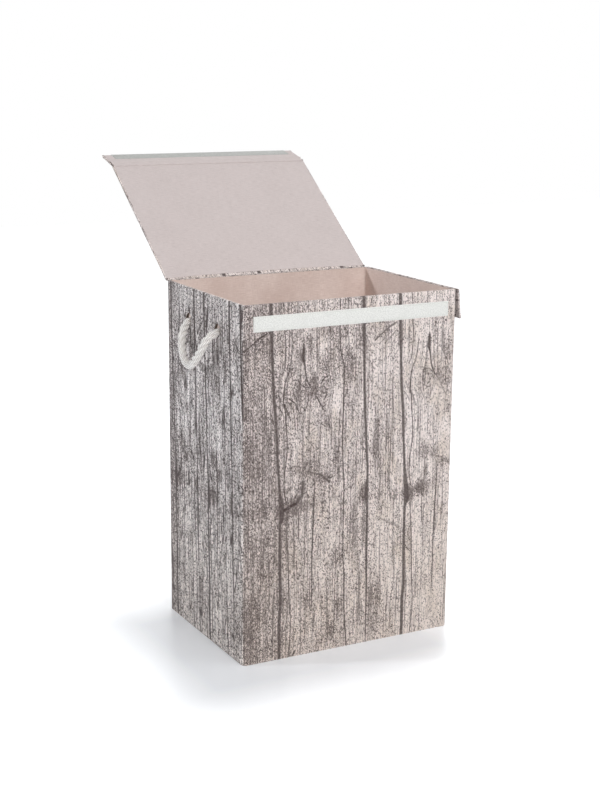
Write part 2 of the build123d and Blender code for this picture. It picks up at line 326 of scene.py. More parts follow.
@dataclass(frozen=True)
class PlankPrint(Finish):
    """Weathered planks printed in charcoal, the dark tone, on a pinkish beige cloth, the light one.

    The side walls carry the print squeezed across, with stronger ink on a paler ground.
    """

    warm: Colour = srgb(231, 218, 209)
    shade: Colour = srgb(196, 182, 178)
    aged: Colour = srgb(214, 196, 176)
    pale: Colour = srgb(252, 246, 244)
    repeat: float = 239.0
    seam: float = -205.0
    height: float = 600.0
    thread_pitch: float = 0.55
    knots: tuple[tuple[float, float, float, float], ...] = ((-96.0, 454.0, 17.0, 20.0), (-57.0, 454.0, 13.0, 17.0))
    cracks: tuple[Crack, ...] = (
        Crack(((0, -133.5, 2.9), (60, -134, 3.1), (100, -132, 2.9), (160, -133, 2.9), (230, -133.5, 2.5),
               (248, -130, 5.3), (262, -130.5, 5.3), (280, -133, 3.5), (300, -135, 2.5), (360, -139, 2.2),
               (400, -141, 2.5), (440, -144.5, 2.8), (480, -147, 2.4), (520, -149, 2.7), (600, -151.5, 3.5)), 0.96),
        Crack(((0, 35.5, 3.3), (60, 35, 3.1), (120, 33, 2.5), (160, 31.5, 2.5), (240, 31, 2.3), (266, 29, 3.6),
               (300, 31, 2.1), (330, 29, 2.1), (360, 27, 2.5), (400, 24.5, 2.5), (480, 21, 2.4),
               (540, 19.5, 3.3), (600, 18, 3.5)), 0.96),
        Crack(((0, -117, 0.9), (20, -115, 1.0), (60, -113, 0.9), (100, -115.5, 1.2), (140, -117, 1.2),
               (180, -118.5, 1.2), (220, -121.5, 0.8), (245, -123, 0.3)), 0.9),
        Crack(((270, -122, 0.8), (300, -126, 1.0), (345, -122, 0.8), (365, -121, 0.9), (400, -123.5, 1.0),
               (425, -125, 1.1), (440, -128, 1.3), (460, -127, 1.0), (477, -123, 0.8), (490, -118, 0.8),
               (520, -113, 0.5))),
        Crack(((485, -130, 0.8), (500, -126, 1.0), (535, -124.5, 1.0), (556, -127, 0.8), (600, -128, 0.8)), 0.9),
        Crack(((0, -4.5, 0.9), (15, -6, 1.0), (50, -9, 1.2), (90, -11, 1.1), (130, -11.5, 1.2), (160, -14, 0.9),
               (200, -14.5, 0.9), (240, -15, 1.1), (280, -14, 1.2), (320, -16.5, 1.1), (380, -18, 1.2),
               (440, -17, 1.1), (480, -17, 1.2), (498, -20, 1.1), (530, -25, 1.0), (600, -26, 0.9))),
        Crack(((455, -76, 0.6), (462, -81, 1.2), (470, -85, 1.3), (482, -88, 1.2), (498, -90.5, 1.4),
               (508, -93, 2.6), (522, -92, 2.4), (530, -92, 0.6))),
        Crack(((80, -73, 0.5), (120, -73, 0.9), (160, -73.5, 1.0), (200, -72.5, 1.2), (250, -71, 1.2),
               (280, -70, 0.9), (302, -69.5, 0.6))),
        Crack(((198, -96, 0.7), (210, -98.5, 0.9), (250, -99, 0.8)), 0.9),
        Crack(((250, -162, 0.5), (290, -165.5, 0.9), (335, -164.5, 0.8), (370, -166, 0.4)), 0.8),
        Crack(((395, -161, 0.6), (430, -162, 1.0), (465, -162.5, 0.6)), 0.8),
        Crack(((255, -183, 0.5), (290, -183.5, 0.8), (330, -184, 0.5)), 0.8),
        Crack(((120, -181, 0.5), (150, -181, 0.9), (200, -182, 0.5)), 0.7),
        Crack(((20, -158, 0.6), (60, -158, 0.8), (110, -152, 0.8), (170, -153.5, 0.5)), 0.8),
        Crack(((30, -147, 0.7), (70, -146, 1.0), (115, -145.5, 0.6)), 0.8),
        Crack(((150, 36, 0.6), (185, 38, 0.9), (215, 36, 0.5)), 0.9),
        Crack(((500, 41, 0.5), (530, 40, 1.0), (556, 36, 1.1), (600, 34, 0.9)), 0.9),
        Crack(((90, 50, 0.6), (140, 48.5, 0.8), (200, 47, 0.6), (320, 46.5, 0.6), (385, 46, 0.8), (430, 48, 0.4)), 0.8),
        Crack(((225, 72.5, 0.6), (270, 71.5, 0.9), (300, 70.5, 0.9), (335, 70, 0.4)), 0.8),
        Crack(((395, 29, 0.5), (430, 29.5, 0.8), (500, 30, 0.5)), 0.7),
        Crack(((340, 63, 0.5), (375, 62.5, 0.7), (460, 61, 0.4)), 0.6),
        Crack(((20, 8, 0.6), (45, 8, 1.0), (80, 10, 0.5)), 0.8),
        Crack(((60, 18, 0.5), (110, 17, 0.8), (180, 13, 0.5), (260, 9, 0.5), (330, 8, 0.8), (380, 11, 0.5)), 0.7),
        Crack(((430, -38, 0.5), (470, -37, 0.8), (520, -36, 0.5)), 0.6),
        Crack(((470, -68, 0.5), (510, -67, 0.9), (540, -68, 0.6)), 0.7),
        Crack(((500, -9, 0.5), (520, -8.5, 0.9), (545, -10.5, 0.8), (600, -11, 0.6)), 0.8),
    )
    strokes: tuple[Stroke, ...] = (
        Stroke((-189, 223), (-168, 211), 1.5, 0.7), Stroke((-168, 211), (-143, 198), 2.1, 0.75),
        Stroke((-198, 527), (-172, 546), 1.5), Stroke((-172, 546), (-158, 553), 1.8),
        Stroke((-180, 520), (-157, 540), 1.2, 0.8), Stroke((-190, 520), (-165, 541), 0.9, 0.7),
        Stroke((-126, 258), (-104, 267), 4.2), Stroke((-104, 267), (-94, 279), 4.0, 0.9),
        Stroke((-93, 279), (-91, 301), 3.4, 0.9), Stroke((-121, 286), (-114, 296), 1.4, 0.9),
        Stroke((-106, 276), (-100, 286), 1.8, 0.9), Stroke((-100, 286), (-107, 294), 1.2, 0.8),
        Stroke((-120, 262), (-121, 232), 2.0, 0.8), Stroke((-84, 318), (-60, 311), 2.0, 0.8),
        Stroke((-60, 311), (-42, 296), 2.0, 0.9), Stroke((-118, 444), (-108, 436), 1.3),
        Stroke((-108, 436), (-100, 420), 1.2), Stroke((-119, 438), (-109, 423), 1.0, 0.9),
        Stroke((-142, 436), (-136, 431), 1.2), Stroke((-136, 431), (-129, 419), 1.2),
        Stroke((-127, 436), (-115, 408), 1.4), Stroke((-137, 452), (-133, 441), 1.2, 0.9),
        Stroke((-95, 428), (-88, 421), 1.1), Stroke((-88, 423), (-82, 440), 1.1, 0.9),
        Stroke((-68, 443), (-62, 432), 1.4), Stroke((-62, 432), (-55, 420), 1.3),
        Stroke((-57, 423), (-51, 428), 0.9), Stroke((-60, 463), (-55, 471), 1.2),
        Stroke((-55, 471), (-47, 475), 1.2), Stroke((-112, 474), (-102, 472), 1.2, 0.9),
        Stroke((-102, 472), (-92, 461), 1.3, 0.9), Stroke((-92, 461), (-82, 458), 1.3, 0.9),
        Stroke((-88, 378), (-75, 361), 0.9, 0.8), Stroke((-45, 246), (-40, 240), 1.4, 0.8),
        Stroke((-104, 10), (-109, 0), 1.5), Stroke((-80, 50), (-70, 56), 1.0, 0.6),
    )
    thick_patches: tuple[Blot, ...] = (
        Blot(-192, 350, 16, 62, 0.4), Blot(-190, 60, 26, 70, 0.5), Blot(-176, 534, 34, 26, 0.2),
        Blot(-97, 452, 20, 22, 0.3), Blot(-57, 454, 15, 18, 0.35), Blot(-72, 458, 10, 24, 0.9),
        Blot(-93, 512, 8, 20, 0.6), Blot(-80, 534, 8, 24, 0.5), Blot(-40, 548, 30, 16, 0.5),
        Blot(-52, 500, 16, 26, 0.45), Blot(-8, 492, 16, 34, 0.6), Blot(-126, 255, 17, 22, 1.5),
        Blot(-104, 262, 26, 20, 1.1), Blot(-92, 290, 10, 20, 0.6), Blot(-74, 266, 24, 16, 0.45),
        Blot(-88, 325, 32, 20, 0.6), Blot(-52, 305, 22, 12, 0.6), Blot(-27, 340, 12, 60, 0.4),
        Blot(25, 266, 14, 18, 1.5), Blot(48, 262, 24, 16, 0.4), Blot(-24, 165, 14, 24, 0.5),
        Blot(-18, 75, 11, 28, 0.6), Blot(-35, 33, 14, 16, 0.6), Blot(-85, 95, 18, 20, 0.4),
        Blot(-48, 395, 12, 18, 0.5), Blot(-170, 260, 34, 16, 0.3), Blot(12, 540, 14, 40, 0.4),
    )
    clear_patches: tuple[Blot, ...] = (
        Blot(-52, 528, 12, 40, 0.5), Blot(-60, 370, 30, 30, 0.4), Blot(-60, 90, 12, 60, 0.4),
        Blot(-105, 60, 12, 60, 0.3), Blot(-30, 440, 14, 50, 0.4), Blot(60, 380, 16, 80, 0.3),
        Blot(-135, 500, 10, 40, 0.3), Blot(-5, 150, 10, 50, 0.3), Blot(60, 140, 14, 60, 0.35),
    )

    def material(self) -> Material:
        """Build the printed cloth's material."""
        graph = self.graph()
        cloth, threads = graph.cloth_map(), graph.cloth_map(THREAD_MAP)
        across, up, _ = cloth.parts
        side = graph.put("Attribute", output="Fac", attribute_name=SIDE_FLAG, attribute_type="GEOMETRY")
        plank = across.do("WRAP", self.seam + self.repeat, self.seam)
        jitter = graph.vectors("SUBTRACT", cloth.noise(0.30, 3.0, 0.7, output=1), (0.5, 0.5, 0.5))
        moved = graph.vectors("MULTIPLY_ADD", jitter, (4.2, 4.2, 0.0), graph.vector(plank, up))
        flow, rings = self.round_knots(plank, up, cloth)
        grain = graph.vector(across + flow, up)
        density = self.density(graph, plank, across, up, grain, side)
        fleck = threads.noise((0.48, 0.22, 1.0), 3.0, 0.8)
        shapes = [self.specks(graph, threads, density, fleck), self.hairlines(grain, density) * 0.88,
                  rings * 0.9, self.waves(grain, side),
                  most(self.long_cracks(graph, moved, side)) * (fleck * 1.1 + 0.40).clamped]
        faded = across.step(20.0, 130.0) * -0.40 + 1.0
        ink = most(shapes).clamped.most(most(self.short_strokes(graph, moved)) * fleck.step(0.30, 0.46) * faded)
        ink = (ink * (side * 0.16 + 1.0)).clamped
        base = grain.noise((0.020, 0.010, 1.0), 3.0, 0.6).step(0.46, 0.66).mix(self.light, self.warm)
        streak = grain.noise((0.40, 0.015, 1.0), 3.0, 0.6, (3.0, 3.0, 0.0)).step(0.42, 0.70)
        for share, tone in ((streak * 0.7, self.shade), (side * 0.85, self.pale), (density * 0.8, self.shade),
                            (up.step(420.0, 40.0) * 0.30, self.aged), (ink, self.dark)):
            base = share.mix(base, tone)
        relief = plain_weave(cloth, self.thread_pitch) * 0.5 + cloth.noise((2.2, 0.35, 1.0)) * 0.5
        return graph.finish(base, ink * -0.06 + 0.86, relief, 0.00012, 0.55, (0.12, 0.5), 0.3)

    def long_cracks(self, graph: Graph, moved: Wire, side: Wire) -> Iterator[Wire]:
        """Yield the gaps between planks and the long cracks in them, drawn broader on the side walls."""
        across, up, _ = moved.parts
        broader = side * 0.5 + 1.0
        for crack in self.cracks:
            heights, places, widths = zip(*crack.points)
            first, last = heights[0] - 4.0, heights[-1] + 4.0
            share = graph.put("MapRange", {"Value": up, "From Min": first, "From Max": last})
            marks = [(height - first) / (last - first) for height in heights]
            left, run, widest = min(places), max(1.0, max(places) - min(places)), max(widths)
            course = share.curve([(mark, (place - left) / run) for mark, place in zip(marks, places)])
            bottom = (0.0, 0.0 if first > 0 else widths[0] / widest)
            top = (1.0, 0.0 if last < self.height else widths[-1] / widest)
            width = share.curve([bottom, *((mark, wide / widest) for mark, wide in zip(marks, widths)), top])
            off = abs(across - (course * run + left))
            yield (off / ((width * widest + 0.01) * broader)).step(1.45, 0.65) * crack.depth

    def short_strokes(self, graph: Graph, moved: Wire) -> Iterator[Wire]:
        """Yield the forks, claws and scratches, each a tapering line."""
        for stroke in self.strokes:
            start = Vector((*stroke.start, 0.0))
            run = Vector((*stroke.end, 0.0)) - start
            reach = graph.vectors("SUBTRACT", moved, start)
            share = graph.vectors("DOT_PRODUCT", reach, run / run.length_squared).clamped
            nearest = graph.put("VectorMath", {0: run, "Scale": share}, operation="SCALE")
            away = graph.vectors("DISTANCE", reach, nearest)
            yield away.step(stroke.width * 1.5, stroke.width * 0.35) * stroke.depth

    def round_knots(self, plank: Wire, up: Wire, cloth: Wire) -> tuple[Wire, Wire]:
        """Return how far the grain flows sideways round the knots, and the knots' broken rings."""
        flow: Value = 0.0
        rings = []
        wobble = cloth.noise((0.09, 0.08, 1.0), 3.0, 0.65)
        broken = cloth.noise((0.20, 0.18, 1.0), 2.0, 0.6)
        for centre, height, wide, tall in self.knots:
            x, z = (plank - centre) / wide, (up - height) / tall
            squared = x * x + z * z
            away = squared.do("SQRT")
            flow = flow + x * (-0.75 * wide) * (squared * -0.35).do("EXPONENT")
            wave = (wobble * 16.0 + away * 15.0).do("SINE")
            rings.append(wave.step(0.35, 0.95) * away.step(1.35, 0.75) * broken.step(0.36, 0.56))
        return flow, most(rings)

    def density(self, graph: Graph, plank: Wire, across: Wire, up: Wire, grain: Wire, side: Wire) -> Wire:
        """Return how thickly the charcoal lies, from 0 to 1, with painted shade towards the front wall's left corner
        and painted light towards its right.
        """
        thick, thin = (most(blot.tone(graph, plank, up) for blot in blots)
                       for blots in (self.thick_patches, self.clear_patches))
        broad, patch = grain.noise((0.020, 0.008, 1.0), 4.0, 0.62), grain.noise((0.10, 0.022, 1.0), 4.0, 0.65)
        # painted light and shade: more charcoal towards the front wall's left corner and less towards its right stand
        # in for light falling off from right to left
        painted_shade_left, far = across.step(-90.0, -165.0), across.step(-20.0, 130.0) * (1.0 - side)
        everywhere = broad * 0.8 + patch * 1.3 - 0.75 + thick * 0.80 - thin * 0.5 + painted_shade_left * 0.32 - far * 0.30
        belt = up.step(375.0, 300.0) * up.step(190.0, 250.0)
        on_side = up.step(330.0, 520.0) * 0.05 - 0.03 + belt * 0.10
        return (everywhere.clamped + side * on_side).clamped

    @staticmethod
    def specks(graph: Graph, threads: Wire, density: Wire, fleck: Wire) -> Wire:
        """Return the charcoal's specks: small upright cells, each dark or clear by chance."""
        bent = graph.vectors("MULTIPLY_ADD", threads.noise(1.5, 1.0, output=1), (1.5, 2.0, 0.0), threads)
        inputs = {"Vector": bent.scaled((0.84, 0.54, 1.0)), "Scale": 1.0}
        chance, depth, _ = graph.put("TexVoronoi", inputs, "Color", voronoi_dimensions="2D").parts
        dark = (density * 0.64 + 0.19 - (chance + 0.40 - fleck * 0.8)).step(-0.05, 0.07)
        return dark * (depth * 0.5 + 0.5)

    @staticmethod
    def waves(grain: Wire, side: Wire) -> Wire:
        """Return the flame-like lines of the grain: level lines of a stretched noise."""
        field = grain.noise((0.016, 0.0042, 1.0), 2.0, 0.45, (11.0, 4.0, 0.0))
        band = (field * (side * -14.0 + 26.0)).do("FRACT")
        broken = grain.noise((0.05, 0.012, 1.0), 3.0, 0.65, (2.0, 50.0, 0.0))
        return abs(band - 0.5).step(0.24, 0.05) * broken.step(0.45, 0.60) * (side * 0.70 + 0.30)

    @staticmethod
    def hairlines(grain: Wire, density: Wire) -> Wire:
        """Return the fine upright lines of the grain, broken along their length."""
        hairs = grain.noise((0.40, 0.007, 1.0), 2.0, 0.65, (31.0, 7.0, 0.0))
        broken = grain.noise((0.9, 0.16, 1.0), 3.0, 0.7, (5.0, 90.0, 0.0))
        return (hairs - (density * -0.10 + 0.578)).step(-0.015, 0.035) * broken.step(0.36, 0.56)


@dataclass(frozen=True)
class LiningCloth(Finish):
    """Thin woven lining in a dusty pink taupe."""

    cloudy: float = 0.14
    thread_pitch: float = 0.8

    def material(self) -> Material:
        """Build the lining's material."""
        graph = self.graph()
        cloth = graph.cloth_map()
        threads = cloth.noise((1.1, 0.08, 1.0), 2.0, 0.6)
        cross = cloth.noise((0.08, 1.1, 1.0), 2.0, 0.6, (40.0, 3.0, 0.0))
        cloud = cloth.noise((0.014, 0.014, 1.0), 3.0, 0.6)
        tone = threads * 0.30 + cross * 0.60 + cloud * self.cloudy
        colour = tone.step(0.38, 0.82).mix(self.light, self.dark)
        relief = plain_weave(cloth, self.thread_pitch) * 0.6 + tone * 0.5
        return graph.finish(colour, tone * 0.12 + 0.78, relief, 0.00012, 0.5, (0.15, 0.4), 0.3)


class Pile(Enum):
    """The two halves of a hook-and-loop fastening."""

    LOOP = "loop"
    HOOK = "hook"


@dataclass(frozen=True)
class TapeCloth(Finish):
    """A hook-and-loop tape: a fuzzy loop side or a bristly hook side."""

    pile: Pile = Pile.LOOP
    hook_pitch: float = 1.3

    def material(self) -> Material:
        """Build the tape's material."""
        graph = self.graph()
        cloth = graph.cloth_map()
        if self.pile is Pile.LOOP:
            fuzz = cloth.noise(0.5, 5.0, 0.8)
            relief, rough, depth = cloth.noise(0.35) * 0.4 + fuzz * 0.6, 0.95, 0.0005
        else:
            fuzz = relief = cloth.noise(1.1) * 0.3 + plain_weave(cloth, self.hook_pitch) * 0.7
            rough, depth = 0.6, 0.0006
        colour = fuzz.step(0.32, 0.66).mix(self.dark, self.light)
        soiled = (cloth.noise(0.05, 3.0, 0.6).step(0.45, 0.8) * 0.25).mix(colour, self.dark)
        return graph.finish(soiled, rough, relief, depth, 0.6, specular=0.3)


@dataclass(frozen=True)
class CottonRope(Finish):
    """Undyed cotton rope: yarns that lie aslant along each strand."""

    yarns: float = 7.0
    twist: float = 0.16

    def material(self) -> Material:
        """Build the rope's material."""
        graph = self.graph()
        cloth = graph.cloth_map()
        around, along, _ = cloth.parts
        fluff = cloth.noise(0.9, 3.0, 0.7)
        phase = along * self.twist + around * (self.yarns / 1000) + fluff * 0.12
        groove = abs((phase * math.pi).do("SINE"))
        relief = fluff * 0.25 + groove ** 0.6 * 0.75
        colour = relief.step(0.15, 0.75).mix(self.dark, self.light)
        grimy = (graph.place().noise(0.06, 3.0, 0.6).step(0.5, 0.8) * 0.25).mix(colour, self.dark)
        return graph.finish(grimy, 0.92, relief, 0.0004, 0.6, (0.25, 0.5), 0.2)


@dataclass(frozen=True)
class FibreBoard(Finish):
    """Board of pressed fibres, with flecks, in a dark grey-brown: painted shade, so that the board that shows in the
    rope holes reads as the shade there.
    """

    def material(self) -> Material:
        """Build the board's material."""
        graph = self.graph()
        place = graph.place()
        fibres = place.noise((0.5, 0.5, 0.12), 4.0, 0.7)
        colour = fibres.step(0.35, 0.7).mix(self.light, self.dark)
        flecked = (place.noise(0.7).step(0.66, 0.74) * 0.6).mix(colour, self.dark)
        return graph.finish(flecked, 0.9, fibres, 0.0003, 0.5)


@dataclass(frozen=True)
class Thread(Finish):
    """Sewing thread with its twist."""

    def material(self) -> Material:
        """Build the thread's material."""
        graph = self.graph()
        x, y, z = graph.place().parts
        twist = ((x + y + z) * 9.0).do("SINE")
        colour = twist.step(-0.6, 0.8).mix(self.dark, self.light)
        return graph.finish(colour, 0.7, twist.step(-1.0, 1.0), 0.0001, 0.4)


class Finishes:
    """Every material of the hamper, made once."""

    def __init__(self) -> None:
        """Build the materials."""
        self.plank = PlankPrint("printed_plank_cloth", srgb(244, 233, 229), srgb(68, 56, 54)).material()
        self.lid_lining = LiningCloth("lid_lining_cloth", srgb(214, 203, 201), srgb(190, 178, 176)).material()
        # painted light: this lining's colour is raised well above the lid lining's to make up for the shade inside the
        # walls; the floor cloth and the board's sleeve share it
        self.lining = LiningCloth("wall_lining_painted_lighter", srgb(242, 226, 218), srgb(216, 195, 186), 0.40).material()
        self.loop = TapeCloth("white_loop_tape", srgb(249, 249, 245), srgb(212, 212, 208)).material()
        self.hook = TapeCloth("grey_hook_tape", srgb(198, 199, 196), srgb(158, 159, 156), Pile.HOOK).material()
        self.rope = CottonRope("cotton_rope", srgb(248, 244, 240), srgb(150, 139, 130)).material()
        # painted shade: the board's tones are darkened for the rope holes, where it shows
        self.board = FibreBoard("fibre_board_painted_dark", srgb(120, 106, 92), srgb(78, 68, 60)).material()
        self.white_thread = Thread("white_thread", srgb(238, 238, 234), srgb(196, 196, 190)).material()


# ---------------------------------------------------------------- modelling by hand


def nothing_selected() -> None:
    """Leave edit mode and deselect every object."""
    if bpy.context.object and bpy.context.object.mode != "OBJECT":
        bpy.ops.object.mode_set(mode="OBJECT")
    bpy.ops.object.select_all(action="DESELECT")


def pick(piece: Obj) -> None:
    """Select one object alone and make it active."""
    nothing_selected()
    piece.select_set(True)
    bpy.context.view_layer.objects.active = piece


def settle(piece: Obj, name: str) -> Obj:
    """Name a new primitive and put its place into its mesh."""
    piece.name = piece.data.name = name
    bpy.ops.object.transform_apply(location=True, rotation=True, scale=True)
    while piece.data.uv_layers:
        piece.data.uv_layers.remove(piece.data.uv_layers[0])
    return piece


def add_block(name: str, low: Vector, high: Vector) -> Obj:
    """Add a block between two corners."""
    nothing_selected()
    bpy.ops.mesh.primitive_cube_add(size=1.0, location=(low + high) / 2, scale=high - low)
    return settle(bpy.context.object, name)


def edit(piece: Obj) -> None:
    """Enter a piece's edit mode."""
    bpy.context.view_layer.objects.active = piece
    if piece.mode != "EDIT":
        bpy.ops.object.mode_set(mode="EDIT")


def choose(piece: Obj, mode: str, test: Callable[[object], bool]) -> None:
    """Enter edit mode and select the faces or edges that pass a test.

    Args:
        piece: The object to edit.
        mode: FACE or EDGE.
        test: Says of each BMesh element whether it is selected.
    """
    edit(piece)
    bpy.ops.mesh.select_mode(type=mode)
    bpy.ops.mesh.select_all(action="DESELECT")
    mesh = bmesh.from_edit_mesh(piece.data)
    for element in {"FACE": mesh.faces, "EDGE": mesh.edges}[mode]:
        if test(element):
            element.select_set(True)
    mesh.select_flush_mode()
    bmesh.update_edit_mesh(piece.data)


def round_along(piece: Obj, axis: int, longer: float, radius: float, segments: int = 4) -> None:
    """Round the edges that run along an axis for longer than a length."""
    choose(piece, "EDGE", lambda edge: abs((edge.verts[0].co - edge.verts[1].co)[axis]) > longer)
    bpy.ops.mesh.bevel(offset=radius, segments=segments, affect="EDGES")


def is_folded(edge: bmesh.types.BMEdge) -> bool:
    """Return whether an edge lies between a level face and an upright one."""
    return len(edge.link_faces) == 2 and abs(edge.link_faces[0].normal.z - edge.link_faces[1].normal.z) > 0.5


def cut_along(piece: Obj, axis: int, places: Iterable[float]) -> None:
    """Cut a piece across an axis at several places, so that it can bend there."""
    edit(piece)
    normal = Vector((axis == X, axis == Y, axis == Z))
    for place in places:
        bpy.ops.mesh.select_all(action="SELECT")
        bpy.ops.mesh.bisect(plane_co=normal * place, plane_no=normal)


def steps_between(low: float, high: float, pitch: float) -> list[float]:
    """Return evenly spaced places strictly between two ends, about a pitch apart."""
    count = max(1, round((high - low) / pitch))
    return [low + (high - low) * index / count for index in range(1, count)]


def cut_grid(piece: Obj, low: Vector, high: Vector, pitch: float, axes: Sequence[int]) -> None:
    """Cut a piece across some axes, about a pitch apart, and leave edit mode."""
    for axis in axes:
        cut_along(piece, axis, steps_between(low[axis], high[axis], pitch))
    nothing_selected()


def apply_modifier(piece: Obj, kind: str, **settings: object) -> None:
    """Add a modifier with its settings and apply it."""
    pick(piece)
    modifier = piece.modifiers.new(kind.title(), kind)
    for key, value in settings.items():
        setattr(modifier, key, value)
    bpy.ops.object.modifier_apply(modifier=modifier.name)


def thicken(piece: Obj, thickness: float, outward: bool = False) -> None:
    """Give a cloth its thickness, inwards unless told otherwise."""
    apply_modifier(piece, "SOLIDIFY", thickness=thickness, offset=1.0 if outward else -1.0, use_even_offset=False)


def smooth(piece: Obj, angle: float) -> None:
    """Shade a piece smooth except at edges sharper than an angle in degrees."""
    pick(piece)
    bpy.ops.object.shade_smooth_by_angle(angle=math.radians(angle))


def map_cloth(piece: Obj, rule: Rule, squeeze: float = 1.0, thread_squeeze: float = 1.7) -> None:
    """Lay the cloth coordinates on a piece, for its print and for its threads.

    Args:
        piece: The finished mesh.
        rule: Gives the print's coordinates in metres for a corner's place, its face's normal and middle.
        squeeze: How much the print is squeezed across on faces towards the left and right.
        thread_squeeze: How much more of it the threads take back there.
    """
    mesh = piece.data
    for name in (CLOTH_MAP, THREAD_MAP):
        if name not in mesh.uv_layers:
            mesh.uv_layers.new(name=name)
    if SIDE_FLAG not in mesh.attributes:
        mesh.attributes.new(SIDE_FLAG, "FLOAT", "CORNER")
    printed, threads, flags = mesh.uv_layers[CLOTH_MAP], mesh.uv_layers[THREAD_MAP], mesh.attributes[SIDE_FLAG]
    for face in mesh.polygons:
        normal, centre = face.normal.copy(), face.center.copy()
        squeezed = squeeze != 1.0 and abs(normal.x) > abs(normal.y)
        for index in face.loop_indices:
            across, up = rule(mesh.vertices[mesh.loops[index].vertex_index].co, normal, centre)
            printed.data[index].uv = across, up
            threads.data[index].uv = across / (squeeze * thread_squeeze if squeezed else 1.0), up
            flags.data[index].value = float(squeezed)


def flat_rule(place: Vector, normal: Vector, centre: Vector) -> tuple[float, float]:
    """Lay the cloth level, as it lies on a floor."""
    return place.x, place.y


def dress(piece: Obj, material: Material, body: str | None, replaces: Sequence[str] = (),
          rule: Rule | None = None, squeeze: float = 1.0, angle: float = 40.0) -> Obj:
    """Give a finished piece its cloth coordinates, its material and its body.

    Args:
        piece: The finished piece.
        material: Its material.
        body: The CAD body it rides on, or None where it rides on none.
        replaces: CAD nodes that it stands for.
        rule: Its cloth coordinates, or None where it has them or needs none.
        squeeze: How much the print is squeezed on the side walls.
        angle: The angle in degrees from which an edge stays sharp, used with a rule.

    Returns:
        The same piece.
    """
    if rule:
        map_cloth(piece, rule, squeeze)
        smooth(piece, angle)
    nothing_selected()
    paint(piece, material)
    if body:
        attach(piece, body)
    if replaces:
        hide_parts(*replaces)
    log.info("%s: %d faces on %s", piece.name, len(piece.data.polygons), body or "a blend")
    return piece


def paint(piece: Obj, material: Material) -> None:
    """Give a piece one material."""
    piece.data.materials.clear()
    piece.data.materials.append(material)


def repaint(material: Material, *nodes: str) -> None:
    """Give CAD nodes that stay their material, and their cloth coordinates."""
    for name in nodes:
        paint(frame["nodes"][name], material)
        map_cloth(frame["nodes"][name], flat_rule)


def from_faces(name: str, points: Sequence[Vector], faces: Sequence[Sequence[int]]) -> Obj:
    """Make an object of points and faces."""
    mesh = bpy.data.meshes.new(name)
    mesh.from_pydata([tuple(point) for point in points], [], [tuple(face) for face in faces])
    mesh.validate()
    piece = bpy.data.objects.new(name, mesh)
    bpy.context.scene.collection.objects.link(piece)
    return piece


def ring(centre: Vector, side: Vector, up: Vector, radius: float, corners: int) -> list[Vector]:
    """Return the corners of a ring round a centre."""
    turns = [2 * math.pi * corner / corners for corner in range(corners)]
    return [centre + (side * math.cos(turn) + up * math.sin(turn)) * radius for turn in turns]


def add_tube(points: list[Vector], faces: list[list[int]], rings: Sequence[Sequence[Vector]]) -> None:
    """Add a closed tube through a row of rings to lists of points and faces."""
    first, sides = len(points), len(rings[0])
    for corners in rings:
        points.extend(corners)
    for row in range(len(rings) - 1):
        start = first + row * sides
        for corner in range(sides):
            low, high = start + corner, start + (corner + 1) % sides
            faces.append([low, high, high + sides, low + sides])
    faces.append([first + corner for corner in reversed(range(sides))])
    faces.append([first + (len(rings) - 1) * sides + corner for corner in range(sides)])


def stitches(name: str, runs: Sequence[tuple[Vector, Vector, Vector]], pitch: float = 0.0035,
             thickness: float = 0.0007, sides: int = 6) -> Obj:
    """Make rows of stitches.

    Args:
        name: The piece's name.
        runs: For each row its start, its end and the outward direction of the cloth.
        pitch: The distance from stitch to stitch.
        thickness: The thread's width.
        sides: The corners of each ring of thread.

    Returns:
        One object with every stitch in it.
    """
    profile = ((-1.0, 0.25, -0.3), (-0.7, 0.8, 0.15), (0.7, 0.8, 0.15), (1.0, 0.25, -0.3))
    half = pitch * 0.36
    points: list[Vector] = []
    faces: list[list[int]] = []
    for start, end, out in runs:
        run = end - start
        along = run.normalized()
        side = along.cross(out).normalized()
        count = max(1, int(run.length / pitch))
        for index in range(count):
            centre = start + run * ((index + 0.5) / count)
            add_tube(points, faces, [
                ring(centre + along * (share * half) + out * (lift * thickness), side, out,
                     girth * thickness / 2, sides) for share, girth, lift in profile])
    piece = from_faces(name, points, faces)
    bm = bmesh.new()
    bm.from_mesh(piece.data)
    bmesh.ops.recalc_face_normals(bm, faces=bm.faces)
    bm.to_mesh(piece.data)
    bm.free()
    smooth(piece, 60)
    return piece


def lump(place: Vector, scale: float, seed: float) -> float:
    """Return gentle noise from -1 to 1 at a place."""
    return noise.noise(Vector((place.x * scale + seed, place.y * scale - seed, place.z * scale)))


def share_of(value: float, start: float, run: float) -> float:
    """Return how far a value is on its way from a start along a run, kept from 0 to 1."""
    return max(0.0, min(1.0, (value - start) / run))


# ---------------------------------------------------------------- the hamper's body


